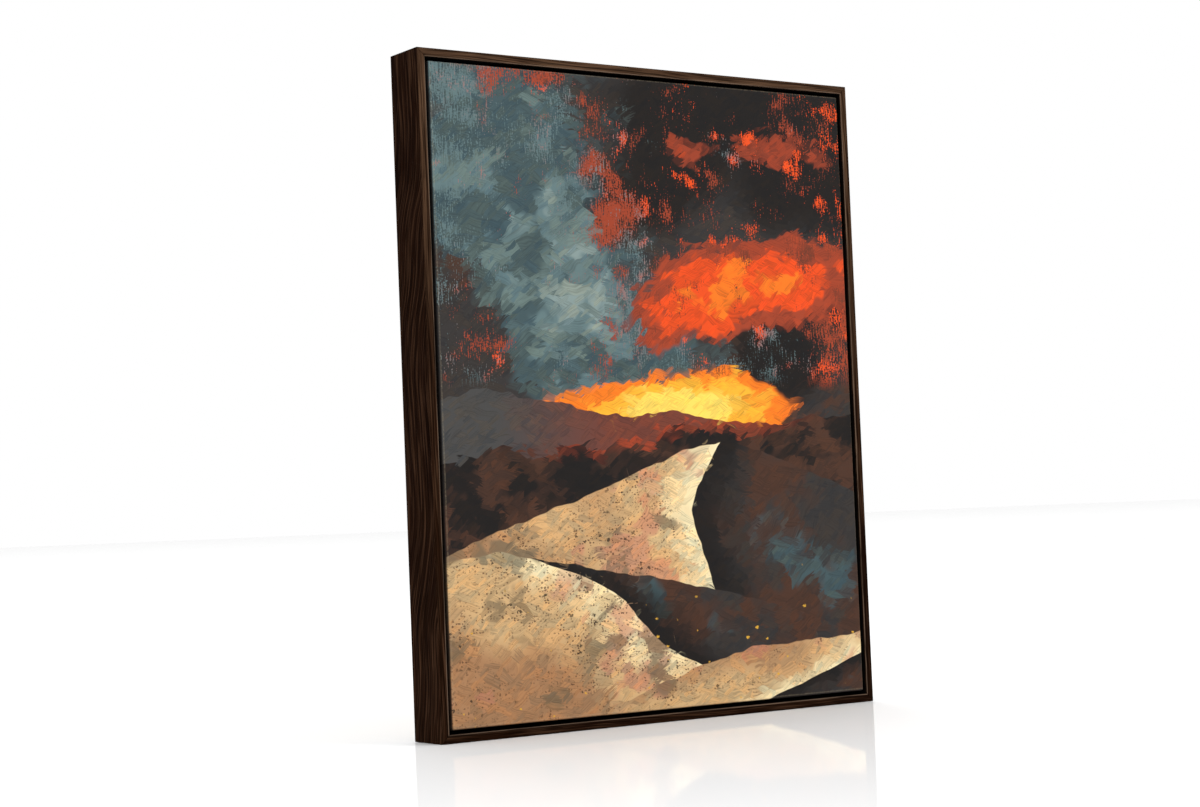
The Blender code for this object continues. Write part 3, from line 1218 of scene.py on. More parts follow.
    def dabs(
        self,
        field: Field,
        below: Socket,
        part: Signal,
        place: Socket,
        design: bpy.types.NodeTree,
        brush: Brush,
    ) -> Tuple[Socket, Signal]:
        """Go over the picture with one brush.

        A dab's own frame has its length along the first axis, and one unit is one dab. The
        nearest Voronoi point in that frame is the dab's middle, and the way to it, scaled and
        turned back, gives the middle's place in the picture. A dab stays within its part of
        the design.

        Args:
            field: the place.
            below: the colour so far.
            part: the number of the part of the design that the place lies in.
            place: the place as a vector.
            design: the design's node group.
            brush: the brush.

        Returns:
            The colour with the dabs on it, and the bristles' marks from 0 to 1.
        """
        graph = field.graph
        angle = math.radians(brush.angle)
        sideways = field.broad[1] * 5.0 + field.fine[1] * 1.2
        bend = graph.joined(field.fine[0] * 0.5 + brush.shift, sideways)
        scale = (1.0 / brush.length, 1.0 / brush.width, 0.0)
        own = graph.vector("MULTIPLY_ADD", graph.turned(place, angle, back=True), scale, bend)
        cell = graph.cells(own)
        way = graph.vector("SUBTRACT", cell.outputs["Position"], own)
        along, across, _ = graph.parts(way)
        way = graph.vector("MULTIPLY", way, (brush.length, brush.width, 0.0))
        middle = graph.vector("ADD", place, graph.turned(way, angle))
        draw = graph.channels(cell.outputs["Color"])
        marks = graph.vector("MULTIPLY", own, self.hair_rates)
        hairs = graph.noise(marks, 1.0, 1.0, 0.6, flat=True)
        ends = abs(along) + (hairs - 0.5) * self.end_fray
        reach = ends.most(abs(across) + (hairs - 0.5) * self.side_fray)
        laid = reach.rise(*self.dab_edge) * graph.picked(draw[0], brush.cover)

        there = graph.node("ShaderNodeGroup", {"node_tree": design}, {"Place": middle})
        laid = laid * abs(graph.number(there, "Part") - part).rise(0.6, 0.4)
        colour = graph.mix(self.cool, self.warm, draw[1])
        colour = graph.mix(there.outputs["Colour"], colour, 1.0, "MULTIPLY")
        dry = hairs.rise(*self.dry_hairs) * self.dry_strength
        colour = graph.mix(colour, Paint.SOOT.linear, dry)
        return graph.mix(below, colour, laid * brush.load), hairs

    def scumbled(self, field: Field, below: Socket, streaks: Signal, tooth: Signal) -> Socket:
        """Drag dry paint over the sky: it catches on the marks of the bristles only.

        Args:
            field: the place.
            below: the colour so far.
            streaks: the upright bristle marks from 0 to 1.
            tooth: the ground's tooth from 0 to 1.

        Returns:
            The colour with the dry paint.
        """
        red, green, _ = field.graph.channels(below)
        in_sky = field.y.rise(*(self.design.skyline + above for above in self.sky_edge))
        dark = red.rise(*self.dark_red) * in_sky
        glowing = (red - green * 2.0).rise(*self.glowing_red) * in_sky
        catch = streaks * 0.9 + tooth * 0.7
        tone = below
        for coat in self.scumbles:
            tone = coat.over(field, tone, catch, dark)
        return self.char.over(field, tone, catch, glowing)

    def specks(self, field: Field, below: Socket, place: Socket, tooth: Signal) -> Socket:
        """Spatter specks: dark grit on light paint, and gold flecks low down.

        Args:
            field: the place.
            below: the colour so far.
            place: the place as a vector.
            tooth: a quick noise from 0 to 1, which frays the specks.

        Returns:
            The colour with the specks.
        """
        graph = field.graph
        red, _, _ = graph.channels(below)
        gritty = (field.fine[2] + field.broad[0]).rise(*self.grit_step) * self.grit_strength
        below_sky = field.y.rise(self.design.skyline, self.design.skyline - self.grit_edge)
        on_light = gritty * red.rise(*self.light_red) * below_sky
        low_down = field.y.rise(*self.gold_below)
        tone = below
        for paint, spatter, within in (
            (Paint.UMBER, self.grit, on_light),
            (Paint.SOOT, self.crumbs, on_light),
            (Paint.GOLD, self.flecks, low_down),
        ):
            tone = field.lay(tone, paint, graph.spots(place, spatter, tooth) * within)
        return tone

    def beyond_edge(self, graph: Graph, cloth: Socket) -> Signal:
        """How far round the painting's edge a point of the cloth lies, in metres.

        The painting isn't quite in the middle of the bars.
        """
        across, up, _ = graph.parts(cloth)
        sideways = abs(across - self.off_centre[0]) - self.width / 2
        upwards = abs(up - (self.height / 2 + self.off_centre[1])) - self.height / 2
        return sideways.most(upwards)


THREAD_HEIGHT = 0.38  # a thread's share of the weave's height
SLUB_HEIGHT = 0.24  # the share of its thickness
SLUB_PUSH = 1.5  # how far a thick thread pushes the next ones aside, in radians of their wave


def plain_weave(graph: Graph, cloth: Socket, gap: float, slub: Number) -> Signal:
    """The height of a plain weave, from 0 to 1.

    The sum of a wave along the warp and one along the weft, each as the sine squared of the
    place over the thread gap, pushed about where the threads are uneven.

    Args:
        graph: the material's graph.
        cloth: the place on the flat cloth, in metres.
        gap: the distance from one thread to the next.
        slub: how thick the threads are there, about 0.5.

    Returns:
        The height.
    """
    across, up, _ = graph.parts(cloth)
    warp = (across * (math.pi / gap) + slub * SLUB_PUSH).wave()
    weft = (up * (math.pi / gap) + slub * SLUB_PUSH).wave()
    return (warp * warp + weft * weft) * THREAD_HEIGHT + slub * SLUB_HEIGHT


@dataclass(frozen=True)
class RawCloth:
    """The canvas's bare back: undyed cotton with thick threads both ways and husk specks."""

    ground: Triple = pigment(220, 208, 182)
    shade: Triple = pigment(178, 162, 132)
    husk: Triple = pigment(126, 100, 70)
    thread_gap: float = 0.00062
    weft_rates: Triple = (28.0, 1000.0, 0.0)
    warp_rates: Triple = (1000.0, 22.0, 0.0)
    weft_slubs: Pair = (0.52, 0.72)
    warp_slubs: Pair = (0.54, 0.74)
    cloud_rate: float = 9.0
    cloud_step: Pair = (0.35, 0.80)
    relief: float = 0.00022
    specular: float = 0.2
    roughness: float = 0.85
    husks: Spatter = Spatter(gap=0.011, cover=0.16, size=0.045)

    def material(self, name: str) -> bpy.types.Material:
        """Make the finish.

        Args:
            name: the material's name.

        Returns:
            The material.
        """
        graph = Finish(name)
        cloth = graph.flat(StretchedCanvas.UV_LAYER)
        weft, warp = (
            graph.noise(graph.vector("MULTIPLY", cloth, rates), 1.0, 1.0, 0.6, flat=True)
            for rates in (self.weft_rates, self.warp_rates)
        )
        weave = plain_weave(graph, cloth, self.thread_gap, weft)
        clouds = graph.noise(cloth, self.cloud_rate, 3.0, 0.6, flat=True)
        thick = weft.rise(*self.weft_slubs).most(warp.rise(*self.warp_slubs) * 0.8)
        shaded = thick * 0.35 + clouds.rise(*self.cloud_step) * 0.35
        tone = graph.mix(self.ground, self.shade, shaded)
        tone = graph.mix(tone, self.shade, (1.0 - weave) * 0.5)
        tone = graph.mix(tone, self.husk, graph.spots(cloth, self.husks, warp) * 0.7)
        return graph.dress(
            {
                "Base Color": tone,
                "Roughness": self.roughness + thick * 0.1,
                "Normal": graph.bump(weave * 0.7 + thick * 0.3, self.relief),
                "Specular IOR Level": self.specular,
            }
        )


def finish_piece(name: str, mesh: bpy.types.Mesh) -> bpy.types.Object:
    """Link a mesh as a piece of the picture that rides on its one body.

    Args:
        name: the piece's name.
        mesh: its mesh, with its place in it.

    Returns:
        The piece.
    """
    piece = bpy.data.objects.new(name, mesh)
    bpy.context.scene.collection.objects.link(piece)
    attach(piece, "root")
    log.info("%s: %d faces", name, len(mesh.polygons))
    return piece


def mesh_from(name: str, points: np.ndarray, faces: Sequence[np.ndarray]) -> bpy.types.Mesh:
    """Put arrays of points and faces into a mesh.

    Args:
        name: the mesh's name.
        points: the points, one row each.
        faces: arrays of faces, one row each, all faces of an array with as many corners.

    Returns:
        The mesh.
    """
    mesh = bpy.data.meshes.new(name)
    mesh.vertices.add(len(points))
    mesh.vertices.foreach_set("co", points.astype(np.float32).ravel())
    corners = np.concatenate([block.ravel() for block in faces])
    sizes = np.concatenate([np.full(len(block), block.shape[1]) for block in faces])
    starts = np.concatenate(([0], np.cumsum(sizes)[:-1]))
    mesh.loops.add(len(corners))
    mesh.loops.foreach_set("vertex_index", corners.astype(np.int32))
    mesh.polygons.add(len(sizes))
    mesh.polygons.foreach_set("loop_start", starts.astype(np.int32))
    mesh.update(calc_edges=True)
    mesh.validate()
    return mesh


def smooth_shaded(mesh: bpy.types.Mesh, sharp_angle: float) -> None:
    """Shade a mesh smooth, but for the edges sharper than an angle in degrees."""
    mesh.shade_smooth()
    mesh.set_sharp_from_angle(angle=math.radians(sharp_angle))


def beside(number: int, along: Length, out: Length) -> Tuple[Length, Length]:
    """Where a point beside one of the picture's sides lies, seen from the picture's middle.

    The point is taken as at the bottom and turned by as many right angles as the side's number.

    Args:
        number: the side's number in SIDES.
        along: how far along the side the point is from the side's middle.
        out: how far out it is from the picture's middle.

    Returns:
        How far across and how far up it lies.
    """
    turned = math.radians(90 * number)
    across = along * math.cos(turned) + out * math.sin(turned)
    return across, along * math.sin(turned) - out * math.cos(turned)


@dataclass
class StretchedCanvas:
    """The cloth: front, sides and turnover as one closed sheet with pleated corners.

    The sheet is worked out as rectangles, one inside another. Each lies at a given inset from
    the picture's edge and depth behind its front, and the same marks along each side run
    through them all, which are closer together near the corners.
    """

    UV_LAYER = "cloth"

    low: Vector
    high: Vector
    thickness: float = 0.0006
    fold_radius: float = 0.0016
    corner_radius: float = 0.0012
    turnover: float = 0.0265
    ragged_cut: float = 0.0007
    shelf_reach: float = 0.0152
    shelf_margin: float = 0.0006
    pleat_height: float = 0.0010
    pleat_width: float = 0.011
    pleat_run: float = 0.003
    pleat_rise: float = 0.0015
    fray_reach: float = 0.004
    fray_marks: int = 9
    slack: float = 0.0004
    arc_steps: int = 5
    side_steps: int = 5
    loose_steps: int = 7
    marks_across: int = 88
    marks_up: int = 104
    crowding: float = 0.82
    sharp_angle: float = 38.0
    seed: int = 20

    @property
    def half_width(self) -> float:
        """Half the picture's width."""
        return (self.high.x - self.low.x) / 2

    @property
    def half_height(self) -> float:
        """Half the picture's height."""
        return (self.high.z - self.low.z) / 2

    @property
    def depth(self) -> float:
        """From the picture's front to the turnover's back."""
        return self.high.y - self.low.y

    @property
    def flat_size(self) -> Tuple[float, float]:
        """The cloth's width and height as it was cut."""
        spare = 2 * (self.depth + self.turnover)
        return 2 * self.half_width + spare, 2 * self.half_height + spare

    def marks(self, count: int) -> np.ndarray:
        """Places along a side from -1 to 1: even steps mixed with a sine, to crowd the ends."""
        even = np.linspace(-1.0, 1.0, count + 1)
        return (1 - self.crowding) * even + self.crowding * np.sin(even * math.pi / 2)

    def profile(self, inner: bool) -> np.ndarray:
        """The sheet's section as rows of inset and depth, from the front to the cut edge.

        Args:
            inner: whether it is the side that lies on the bars, one thickness in.

        Returns:
            A quarter circle round the front fold, the side, a quarter circle round the back
            fold, and the turnover in short steps.
        """
        skin = self.thickness if inner else 0.0
        radius = self.fold_radius - skin
        turn = np.linspace(0.0, math.pi / 2, self.arc_steps + 1)
        front = np.column_stack((1 - np.sin(turn), 1 - np.cos(turn))) * radius + skin
        sides = np.linspace(self.fold_radius, self.depth - self.fold_radius, self.side_steps + 1)[1:-1]
        side = np.column_stack((np.full(len(sides), skin), sides))
        back = np.column_stack((1 - np.cos(turn), np.sin(turn) - 1)) * radius
        back += (skin, self.depth - skin)
        shelf_edge, risen = self.shelf_reach, self.shelf_reach + self.pleat_rise
        covered = [shelf_edge * 0.5, shelf_edge - self.shelf_margin, (shelf_edge + risen) / 2]
        loose = np.linspace(risen + self.shelf_margin, self.turnover, self.loose_steps + 1)
        reaches = np.concatenate((covered, loose))
        turnover = np.column_stack((reaches, np.full(len(reaches), self.depth - skin)))
        return np.vstack((front, side, back, turnover))

    def ring(self, inset: float, depth: float, reach: float) -> Tuple[np.ndarray, List[np.ndarray]]:
        """One rectangle of the sheet with rounded corners.

        Within a corner radius of the end of a side, the point lies on an eighth of a circle.

        Args:
            inset: how far it lies in from the picture's edge.
            depth: how far behind the picture's front.
            reach: how far along the cloth it lies from the front's edge, for the flat place.

        Returns:
            The points once round from the lower left corner, and the flat places side by side.
        """
        points: List[np.ndarray] = []
        flats: List[np.ndarray] = []
        halves = (self.half_width - inset, self.half_height - inset)
        radius = self.corner_radius
        for number, side in enumerate(SIDES):
            upright = Axis.of(side) is Axis.UP
            run = halves[1] if upright else halves[0]
            off = halves[0] if upright else halves[1]
            marks = self.marks(self.marks_up if upright else self.marks_across)
            along = marks * run
            from_end = run - np.abs(along)
            turn = np.clip(1 - from_end / radius, 0, 1) * math.pi / 4
            rounded = np.where(turn > 0, run - radius + radius * np.sin(turn), np.abs(along))
            along = np.sign(along) * rounded
            out = off - radius * (1 - np.cos(turn))
            x, z = beside(number, along, out)
            y = np.full(len(x), self.low.y + depth)
            y = y if upright else y + self.pleat(inset, from_end)
            points.append(np.column_stack((x, y, z + self.low.z + self.half_height))[:-1])
            flat_out = (self.half_width if upright else self.half_height) + reach
            flat_x, flat_z = beside(number, along, flat_out)
            flats.append(np.column_stack((flat_x, flat_z + self.half_height)))
        return np.vstack(points), flats

    def pleat(self, inset: float, from_end: np.ndarray) -> np.ndarray:
        """How far the folded corner stands off the turnover.

        The pleat lies on the upper and lower sides only, next to the mitre, and it rises once
        it is clear of the shelf, by a smooth step of 3 t^2 - 2 t^3.

        Args:
            inset: the ring's inset.
            from_end: each point's distance from the end of its side.

        Returns:
            The height of each point.
        """
        clear = np.clip((inset - self.shelf_reach) / self.pleat_rise, 0, 1)
        near = np.clip((self.pleat_width - from_end) / self.pleat_run, 0, 1)
        return self.pleat_height * clear * near * near * (3 - 2 * near)

    def build(self) -> bpy.types.Mesh:
        """Make the sheet's mesh: two grids joined by the rings between them.

        Returns:
            The closed mesh, painted side first, with the flat places as its UV layer.
        """
        outer, inner = self.profile(inner=False), self.profile(inner=True)
        lengths = np.linalg.norm(np.diff(outer, axis=0), axis=1)
        reaches = np.concatenate(([0.0], np.cumsum(lengths))) - self.fold_radius
        ragged = self.ragged()
        fray_start = self.shelf_reach + self.fray_reach

        rings: List[np.ndarray] = []
        flats: List[List[np.ndarray]] = []
        for rows, flip in ((outer, False), (inner[::-1], True)):
            steps = reaches[::-1] if flip else reaches
            for (inset, depth), reach in zip(rows, steps):
                points, flat = self.ring(inset, depth, reach)
                share = np.clip((inset - fray_start) / (self.turnover - fray_start), 0, 1)
                points = self.pushed_in(points, ragged * share)
                rings.append(points)
                flats.append(flat)
        return self.assembled(rings, flats, len(outer))

    def ragged(self) -> np.ndarray:
        """How far the cut edge strays at each mark round it.

        Random steps are added up, tilted to meet at the ends, evened out over a few marks and
        brought to the largest stray.
        """
        around = 2 * (self.marks_across + self.marks_up)
        walk = np.cumsum(np.random.default_rng(self.seed).normal(size=around))
        walk -= np.linspace(0, walk[-1], around)
        evened = np.convolve(np.tile(walk, 3), np.ones(self.fray_marks) / self.fray_marks, "same")
        stray = evened[around : 2 * around]
        return self.ragged_cut * stray / np.abs(stray).max()

    def pushed_in(self, points: np.ndarray, amount: np.ndarray) -> np.ndarray:
        """Move a ring's points towards the middle of the picture, each by its own amount."""
        middle = np.array([0.0, 0.0, self.low.z + self.half_height])
        away = points - middle
        away[:, 1] = 0.0
        reach = np.abs(away) / np.array([self.half_width, 1.0, self.half_height])
        sideways = reach[:, 0] >= reach[:, 2]
        step = np.zeros_like(points)
        step[:, 0] = np.where(sideways, -np.sign(away[:, 0]), 0.0)
        step[:, 2] = np.where(sideways, 0.0, -np.sign(away[:, 2]))
        return points + step * amount[:, None]

    def assembled(
        self, rings: Sequence[np.ndarray], flats: Sequence[Sequence[np.ndarray]], painted: int
    ) -> bpy.types.Mesh:
        """Close the rings with a grid at either end, and put it all into a mesh.

        Args:
            rings: the rings from the front's edge round to the edge of the front's back.
            flats: each ring's flat places, side by side.
            painted: how many of the rings lie on the cloth's painted side.

        Returns:
            The mesh.
        """
        across, up, around = self.marks_across, self.marks_up, len(rings[0])
        front, front_flat = self.grid(self.low.y, 0.0)
        reverse, reverse_flat = self.grid(self.low.y, self.thickness)
        edge = self.grid_edge()
        count = len(front)
        ring_ids = [edge]
        blocks = [front]
        start = count
        for points in rings[1:-1]:
            ring_ids.append(start + np.arange(around))
            blocks.append(points)
            start += around
        ring_ids.append(start + edge)
        blocks.append(reverse)

        cells = self.grid_cells()
        faces = [cells]
        places = [front_flat[cells]]
        finishes = [np.zeros(len(cells))]
        firsts = np.cumsum([0, across, up, across])
        lengths = (across, up, across, up)
        for index in range(len(rings) - 1):
            near, far = ring_ids[index], ring_ids[index + 1]
            for number, (first, length) in enumerate(zip(firsts, lengths)):
                here = first + np.arange(length)
                there = (here + 1) % around
                faces.append(np.column_stack((near[here], far[here], far[there], near[there])))
                a, b = flats[index][number], flats[index + 1][number]
                places.append(np.stack((a[:-1], b[:-1], b[1:], a[1:]), axis=1))
                finishes.append(np.full(length, 0 if index < painted else 1))
        faces.append(start + cells[:, ::-1])
        places.append(reverse_flat[cells[:, ::-1]])
        finishes.append(np.ones(len(cells)))

        mesh = mesh_from("canvas_cloth", np.vstack(blocks), [np.vstack(faces)])
        layer = mesh.uv_layers.new(name=self.UV_LAYER)
        layer.data.foreach_set("uv", np.concatenate(places).astype(np.float32).ravel())
        mesh.polygons.foreach_set("material_index", np.concatenate(finishes).astype(np.int32))
        smooth_shaded(mesh, self.sharp_angle)
        return mesh

    def grid(self, y: float, behind: float) -> Tuple[np.ndarray, np.ndarray]:
        """The flat of the picture: a grid that sags a little towards its middle.

        The sag is the slack times one minus the square of the place over half the size, both
        ways. The outermost row and column are those of the first ring.

        Args:
            y: the front's place.
            behind: how far behind it the grid lies.

        Returns:
            The points, row by row from below, and their flat places.
        """
        inset = self.fold_radius
        first, _ = self.ring(inset, 0.0, 0.0)
        marks_x, marks_z = self.marks(self.marks_across), self.marks(self.marks_up)
        x, z = np.meshgrid(marks_x, marks_z)
        sag = self.slack * (1 - x**2) * (1 - z**2)
        points = np.column_stack(
            (
                (x * (self.half_width - inset)).ravel(),
                (y + behind + sag).ravel(),
                (z * (self.half_height - inset)).ravel() + self.low.z + self.half_height,
            )
        )
        edge = self.grid_edge()
        points[edge, 0], points[edge, 2] = first[:, 0], first[:, 2]
        flat = np.column_stack((points[:, 0], points[:, 2] - self.low.z))
        return points, flat

    def grid_edge(self) -> np.ndarray:
        """The numbers of the grid's outer points, once round from the lower left."""
        wide, tall = self.marks_across + 1, self.marks_up + 1
        ids = np.arange(wide * tall).reshape(tall, wide)
        return np.concatenate((ids[0, :-1], ids[:-1, -1], ids[-1, :0:-1], ids[:0:-1, 0]))

    def grid_cells(self) -> np.ndarray:
        """The grid's faces, facing the front."""
        wide, tall = self.marks_across + 1, self.marks_up + 1
        ids = np.arange(wide * tall).reshape(tall, wide)
        return np.column_stack(
            (ids[:-1, :-1].ravel(), ids[:-1, 1:].ravel(), ids[1:, 1:].ravel(), ids[1:, :-1].ravel())
        )

    def make(self, finishes: Sequence[bpy.types.Material]) -> bpy.types.Object:
        """Build the cloth, dress it and put it in place of the plain solid.

        Args:
            finishes: the painted side's finish and the bare side's.

        Returns:
            The piece.
        """
        mesh = self.build()
        for material in finishes:
            mesh.materials.append(material)
        piece = finish_piece("canvas_cloth", mesh)
        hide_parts("canvas")
        self.flat_size
        return piece


@dataclass
class Staples:
    """Wire staples along the turnover, each driven through the cloth into its bar."""

    half_width: float
    half_height: float
    middle_height: float
    cloth_back: float
    inset: float = 0.0208
    gap: float = 0.048
    crown: float = 0.0105
    leg: float = 0.0024
    wire_width: float = 0.0012
    wire_thickness: float = 0.0006
    bend_radius: float = 0.0008
    bend_steps: int = 4
    chamfer: float = 0.00012
    bedded: float = 0.0001
    end_margin: float = 0.020
    slip: float = 0.002
    stray: float = 0.0006
    turn_spread: float = 3.5
    sharp_angle: float = 50.0
    seed: int = 8

    @property
    def section(self) -> np.ndarray:
        """The wire's section: a rectangle with its corners cut, out first and then sideways."""
        wide, thick, chamfer = self.wire_width / 2, self.wire_thickness / 2, self.chamfer
        return np.array(
            [
                (thick, wide - chamfer), (thick - chamfer, wide),
                (chamfer - thick, wide), (-thick, wide - chamfer),
                (-thick, chamfer - wide), (chamfer - thick, -wide),
                (thick - chamfer, -wide), (thick, chamfer - wide),
            ]
        )

    def wire(self) -> Tuple[np.ndarray, np.ndarray]:
        """One staple about its crown's middle: along X, standing out along Y.

        The centreline is a leg, a quarter circle, the crown, a quarter circle and a leg. The
        section, a rectangle with its corners cut, is carried along it.

        Returns:
            The points and the faces.
        """
        half, radius = self.crown / 2, self.bend_radius
        turn = np.linspace(0.0, math.pi / 2, self.bend_steps + 1)
        bend = np.column_stack((half - radius + radius * np.cos(turn), radius * (np.sin(turn) - 1)))
        right = np.vstack(([[half, -self.leg]], bend))
        angles = np.concatenate(([0.0], turn))
        path = np.vstack((right, right[::-1] * (-1.0, 1.0)))
        angles = np.concatenate((angles, math.pi - angles[::-1]))
        out = np.column_stack((np.cos(angles), np.sin(angles)))

        section = self.section
        flat = path[:, None, :] + out[:, None, :] * section[None, :, :1]
        sideways = np.broadcast_to(section[None, :, 1:], flat.shape[:2] + (1,))
        points = np.concatenate((flat, sideways), axis=2).reshape(-1, 3)

        rows, around = len(path), len(section)
        ids = np.arange(rows * around).reshape(rows, around)
        follower = np.roll(ids, -1, axis=1)
        sides = np.stack((ids[:-1], ids[1:], follower[1:], follower[:-1]), axis=2).reshape(-1, 4)
        return points, sides

    def places(self) -> List[Tuple[float, float, float]]:
        """Each staple's place across and up, and its turn in radians, evenly with small slips."""
        rng = np.random.default_rng(self.seed)
        found: List[Tuple[float, float, float]] = []
        for number, side in enumerate(SIDES):
            upright = Axis.of(side) is Axis.UP
            run = self.half_height if upright else self.half_width
            off = (self.half_width if upright else self.half_height) - self.inset
            reach = run - self.inset - self.end_margin
            count = int(round(2 * reach / self.gap)) + 1
            turned = math.radians(90 * number)
            for along in np.linspace(-reach, reach, count):
                slip = along + rng.normal(0, self.slip)
                out = off + rng.normal(0, self.stray)
                across, up = beside(number, slip, out)
                found.append((across, up, turned + math.radians(rng.normal(0, self.turn_spread))))
        return found

    def make(self, steel: bpy.types.Material) -> bpy.types.Object:
        """Build all the staples as one piece.

        Args:
            steel: their finish.

        Returns:
            The piece.
        """
        wire, sides = self.wire()
        around = len(self.section)
        first, last = np.arange(around), len(wire) - around + np.arange(around)
        stand = self.cloth_back + self.wire_thickness / 2 - self.bedded
        blocks: List[np.ndarray] = []
        quads: List[np.ndarray] = []
        ends: List[np.ndarray] = []
        for index, (across, up, turn) in enumerate(self.places()):
            x = wire[:, 0] * math.cos(turn) - wire[:, 2] * math.sin(turn) + across
            z = wire[:, 0] * math.sin(turn) + wire[:, 2] * math.cos(turn) + up + self.middle_height
            blocks.append(np.column_stack((x, wire[:, 1] + stand, z)))
            start = index * len(wire)
            quads.append(sides + start)
            ends.append(np.vstack((first, last[::-1])) + start)
        mesh = mesh_from("staples", np.vstack(blocks), [np.vstack(quads), np.vstack(ends)])
        outwards(mesh)
        smooth_shaded(mesh, self.sharp_angle)
        mesh.materials.append(steel)
        return finish_piece("staples", mesh)


def outwards(mesh: bpy.types.Mesh) -> None:
    """Turn a closed mesh's faces to point outwards."""
    shape = bmesh.new()
    shape.from_mesh(mesh)
    bmesh.ops.recalc_face_normals(shape, faces=shape.faces)
    shape.to_mesh(mesh)
    shape.free()


@dataclass
class FloaterFrame:
    """The four rails, which keep their shapes and get their grain."""

    face: float
    shelf_reach: float
    grain_step: float = 0.137

    def dress(self) -> None:
        """Give each rail a finish whose grain runs along it."""
        low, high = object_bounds()
        wood = StainedWood(
            half_width=(high.x - low.x) / 2,
            height=high.z - low.z,
            front=low.y,
            back=high.y,
            face=self.face,
            shelf_reach=self.shelf_reach,
        )
        for number, side in enumerate(SIDES):
            shift = self.grain_step * number
            dress_node(f"rail_{side}", wood.material(f"dark_wood_{side}", Axis.of(side), shift))


@dataclass
class Carcass:
    """The stretcher bars behind the canvas, and the screws that hold them in the frame."""

    grain_start: float = 0.2
    grain_step: float = 0.41
    screws_to_a_side: int = 2

    def dress(self, steel: bpy.types.Material) -> None:
        """Give the bars their timber and the screws their plating."""
        timber = BareWood()
        for number, side in enumerate(SIDES):
            shift = self.grain_step * number + self.grain_start
            dress_node(f"stretcher_{side}", timber.material(f"pine_{side}", Axis.of(side), shift))
            for screw in range(1, self.screws_to_a_side + 1):
                dress_node(f"screw_{side}_{screw}", steel)


def dress_node(name: str, material: bpy.types.Material) -> None:
    """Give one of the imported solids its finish."""
    node = frame["nodes"][name]
    node.data.materials.clear()
    node.data.materials.append(material)
    log.info("%s: %s", name, material.name)


@dataclass(frozen=True)
class SoftLight:
    """A square light, aimed at the middle of the picture.

    Attributes:
        name: its name.
        place: where it hangs.
        size: its side.
        power: its power in watts.
    """

    name: str
    place: Triple
    size: float
    power: float


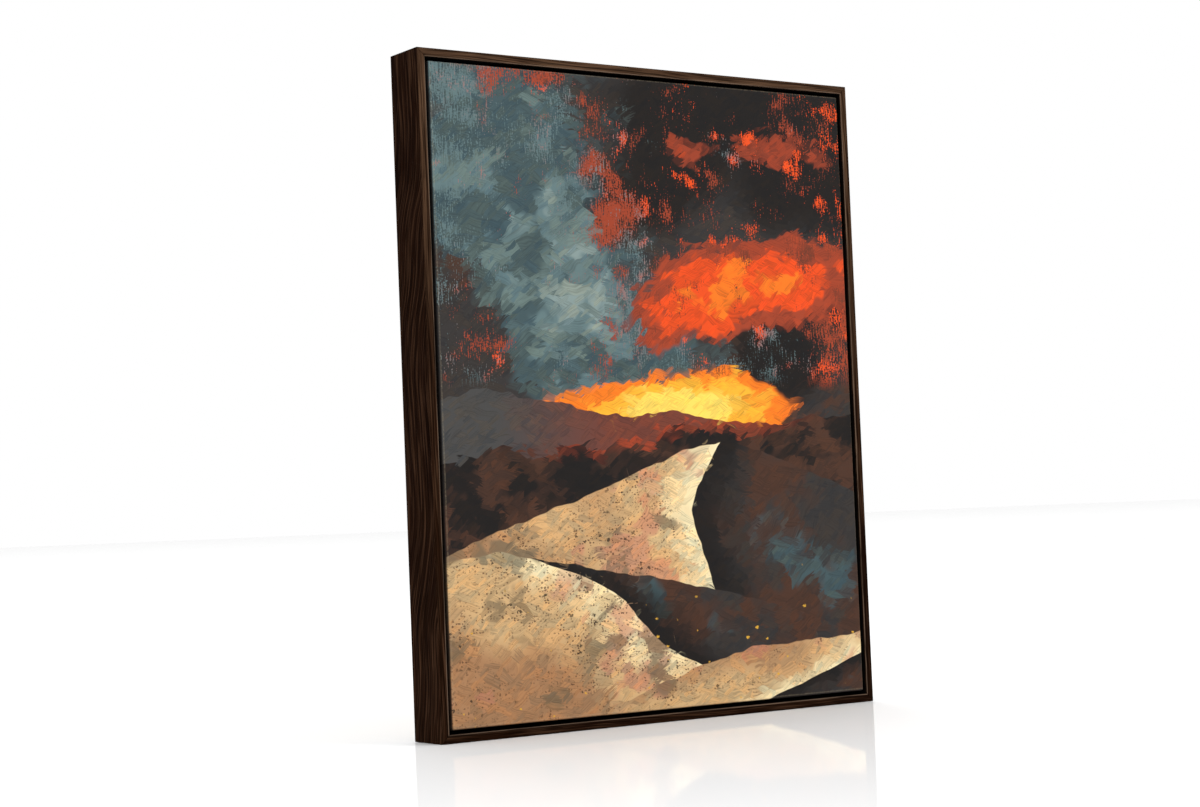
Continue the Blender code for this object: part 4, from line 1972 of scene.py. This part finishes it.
@dataclass
class Studio:
    """A pale floor, soft light and the camera."""

    camera_place: Triple = (-1.1008, -1.5352, 0.1637)
    heading: float = -34.564
    pitch: float = 2.841
    roll: float = -2.304
    lens: float = 69.86
    sensor: float = 36.0
    floor_size: float = 160.0
    floor_pale: Triple = (0.94, 0.94, 0.94)
    floor_paler: Triple = (0.97, 0.97, 0.97)
    floor_drop: float = 0.0002
    floor_refraction: float = 1.045
    floor_roughness: float = 0.03
    mottle_rate: float = 3.0
    air: Triple = (1.0, 1.0, 1.0)
    aim: Triple = (0.0, 0.0, 0.26)
    lights: Tuple[SoftLight, ...] = (
        SoftLight("key", (1.9, -2.6, 3.1), 1.8, 55.0),
        SoftLight("fill", (-2.8, -1.6, 1.6), 1.6, 14.0),
        SoftLight("back", (1.2, 2.8, 2.4), 1.8, 34.0),
    )

    def build(self) -> None:
        """Make the floor, the world, the lights and the camera."""
        self.floor()
        self.world()
        for light in self.lights:
            self.hang(light)
        self.camera()

    def floor(self) -> None:
        """A wide level floor just below the frame, with a faint even mottle."""
        half = self.floor_size / 2
        corners = np.array([(-1, -1, 0), (1, -1, 0), (1, 1, 0), (-1, 1, 0)], float) * half
        corners[:, 2] = -self.floor_drop
        mesh = mesh_from("floor", corners, [np.array([[0, 1, 2, 3]])])
        graph = Finish("pale_floor")
        mottle = graph.noise(graph.place(), self.mottle_rate, 3.0)
        material = graph.dress(
            {
                "Base Color": graph.mix(self.floor_pale, self.floor_paler, mottle),
                "Roughness": self.floor_roughness + mottle * 0.04,
                "IOR": self.floor_refraction,
            }
        )
        mesh.materials.append(material)
        floor = bpy.data.objects.new("floor", mesh)
        bpy.context.scene.collection.objects.link(floor)
        floor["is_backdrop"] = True

    def world(self) -> None:
        """Light from all round, as pale as the floor."""
        world = bpy.data.worlds.new("air")
        world.use_nodes = True
        background = world.node_tree.nodes["Background"]
        background.inputs["Color"].default_value = (*self.air, 1.0)
        background.inputs["Strength"].default_value = 1.0
        bpy.context.scene.world = world
        bpy.context.scene.view_settings.view_transform = "Standard"

    def hang(self, light: SoftLight) -> None:
        """Hang a light in its place and aim it."""
        lamp = bpy.data.lights.new(light.name, "AREA")
        lamp.size = light.size
        lamp.energy = light.power
        thing = bpy.data.objects.new(light.name, lamp)
        thing.location = light.place
        way = Vector(self.aim) - Vector(light.place)
        thing.rotation_euler = way.to_track_quat("-Z", "Y").to_euler()
        bpy.context.scene.collection.objects.link(thing)

    def camera(self) -> None:
        """Stand the camera where the photograph was taken from."""
        eye = bpy.data.cameras.new("camera")
        eye.lens = self.lens
        eye.sensor_width = self.sensor
        thing = bpy.data.objects.new("camera", eye)
        turns = (
            Matrix.Rotation(math.radians(self.heading), 4, "Z"),
            Matrix.Rotation(math.radians(90.0 + self.pitch), 4, "X"),
            Matrix.Rotation(math.radians(self.roll), 4, "Z"),
        )
        thing.matrix_world = Matrix.Translation(self.camera_place) @ turns[0] @ turns[1] @ turns[2]
        bpy.context.scene.collection.objects.link(thing)
        bpy.context.scene.camera = thing


def clear_defaults() -> None:
    """Remove what Blender's own start-up scene holds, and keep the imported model."""
    kept = set(frame["nodes"].values()) | set(frame["bodies"].values())
    for thing in list(bpy.data.objects):
        if thing not in kept:
            bpy.data.objects.remove(thing)


def main() -> None:
    """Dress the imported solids, make the cloth and its staples, and set the studio up."""
    logging.basicConfig(level=logging.INFO, format="%(name)s: %(message)s")
    clear_defaults()
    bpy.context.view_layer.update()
    canvas_low, canvas_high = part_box("canvas")
    rail_low, rail_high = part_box("rail_left")
    steel = ZincSteel().material("zinc_steel")

    FloaterFrame(face=RAIL_FACE, shelf_reach=rail_high.x - rail_low.x - RAIL_FACE).dress()
    Carcass().dress(steel)
    canvas = StretchedCanvas(canvas_low, canvas_high)
    painted = PaintedCloth(
        width=2 * canvas.half_width,
        height=2 * canvas.half_height,
        depth=canvas.depth,
    )
    canvas.make((painted.material("painted_cloth"), RawCloth().material("raw_cloth")))
    Staples(
        half_width=canvas.half_width,
        half_height=canvas.half_height,
        middle_height=(canvas_low.z + canvas_high.z) / 2,
        cloth_back=canvas_high.y,
    ).make(steel)
    Studio().build()


if __name__ == "__main__":
    main()
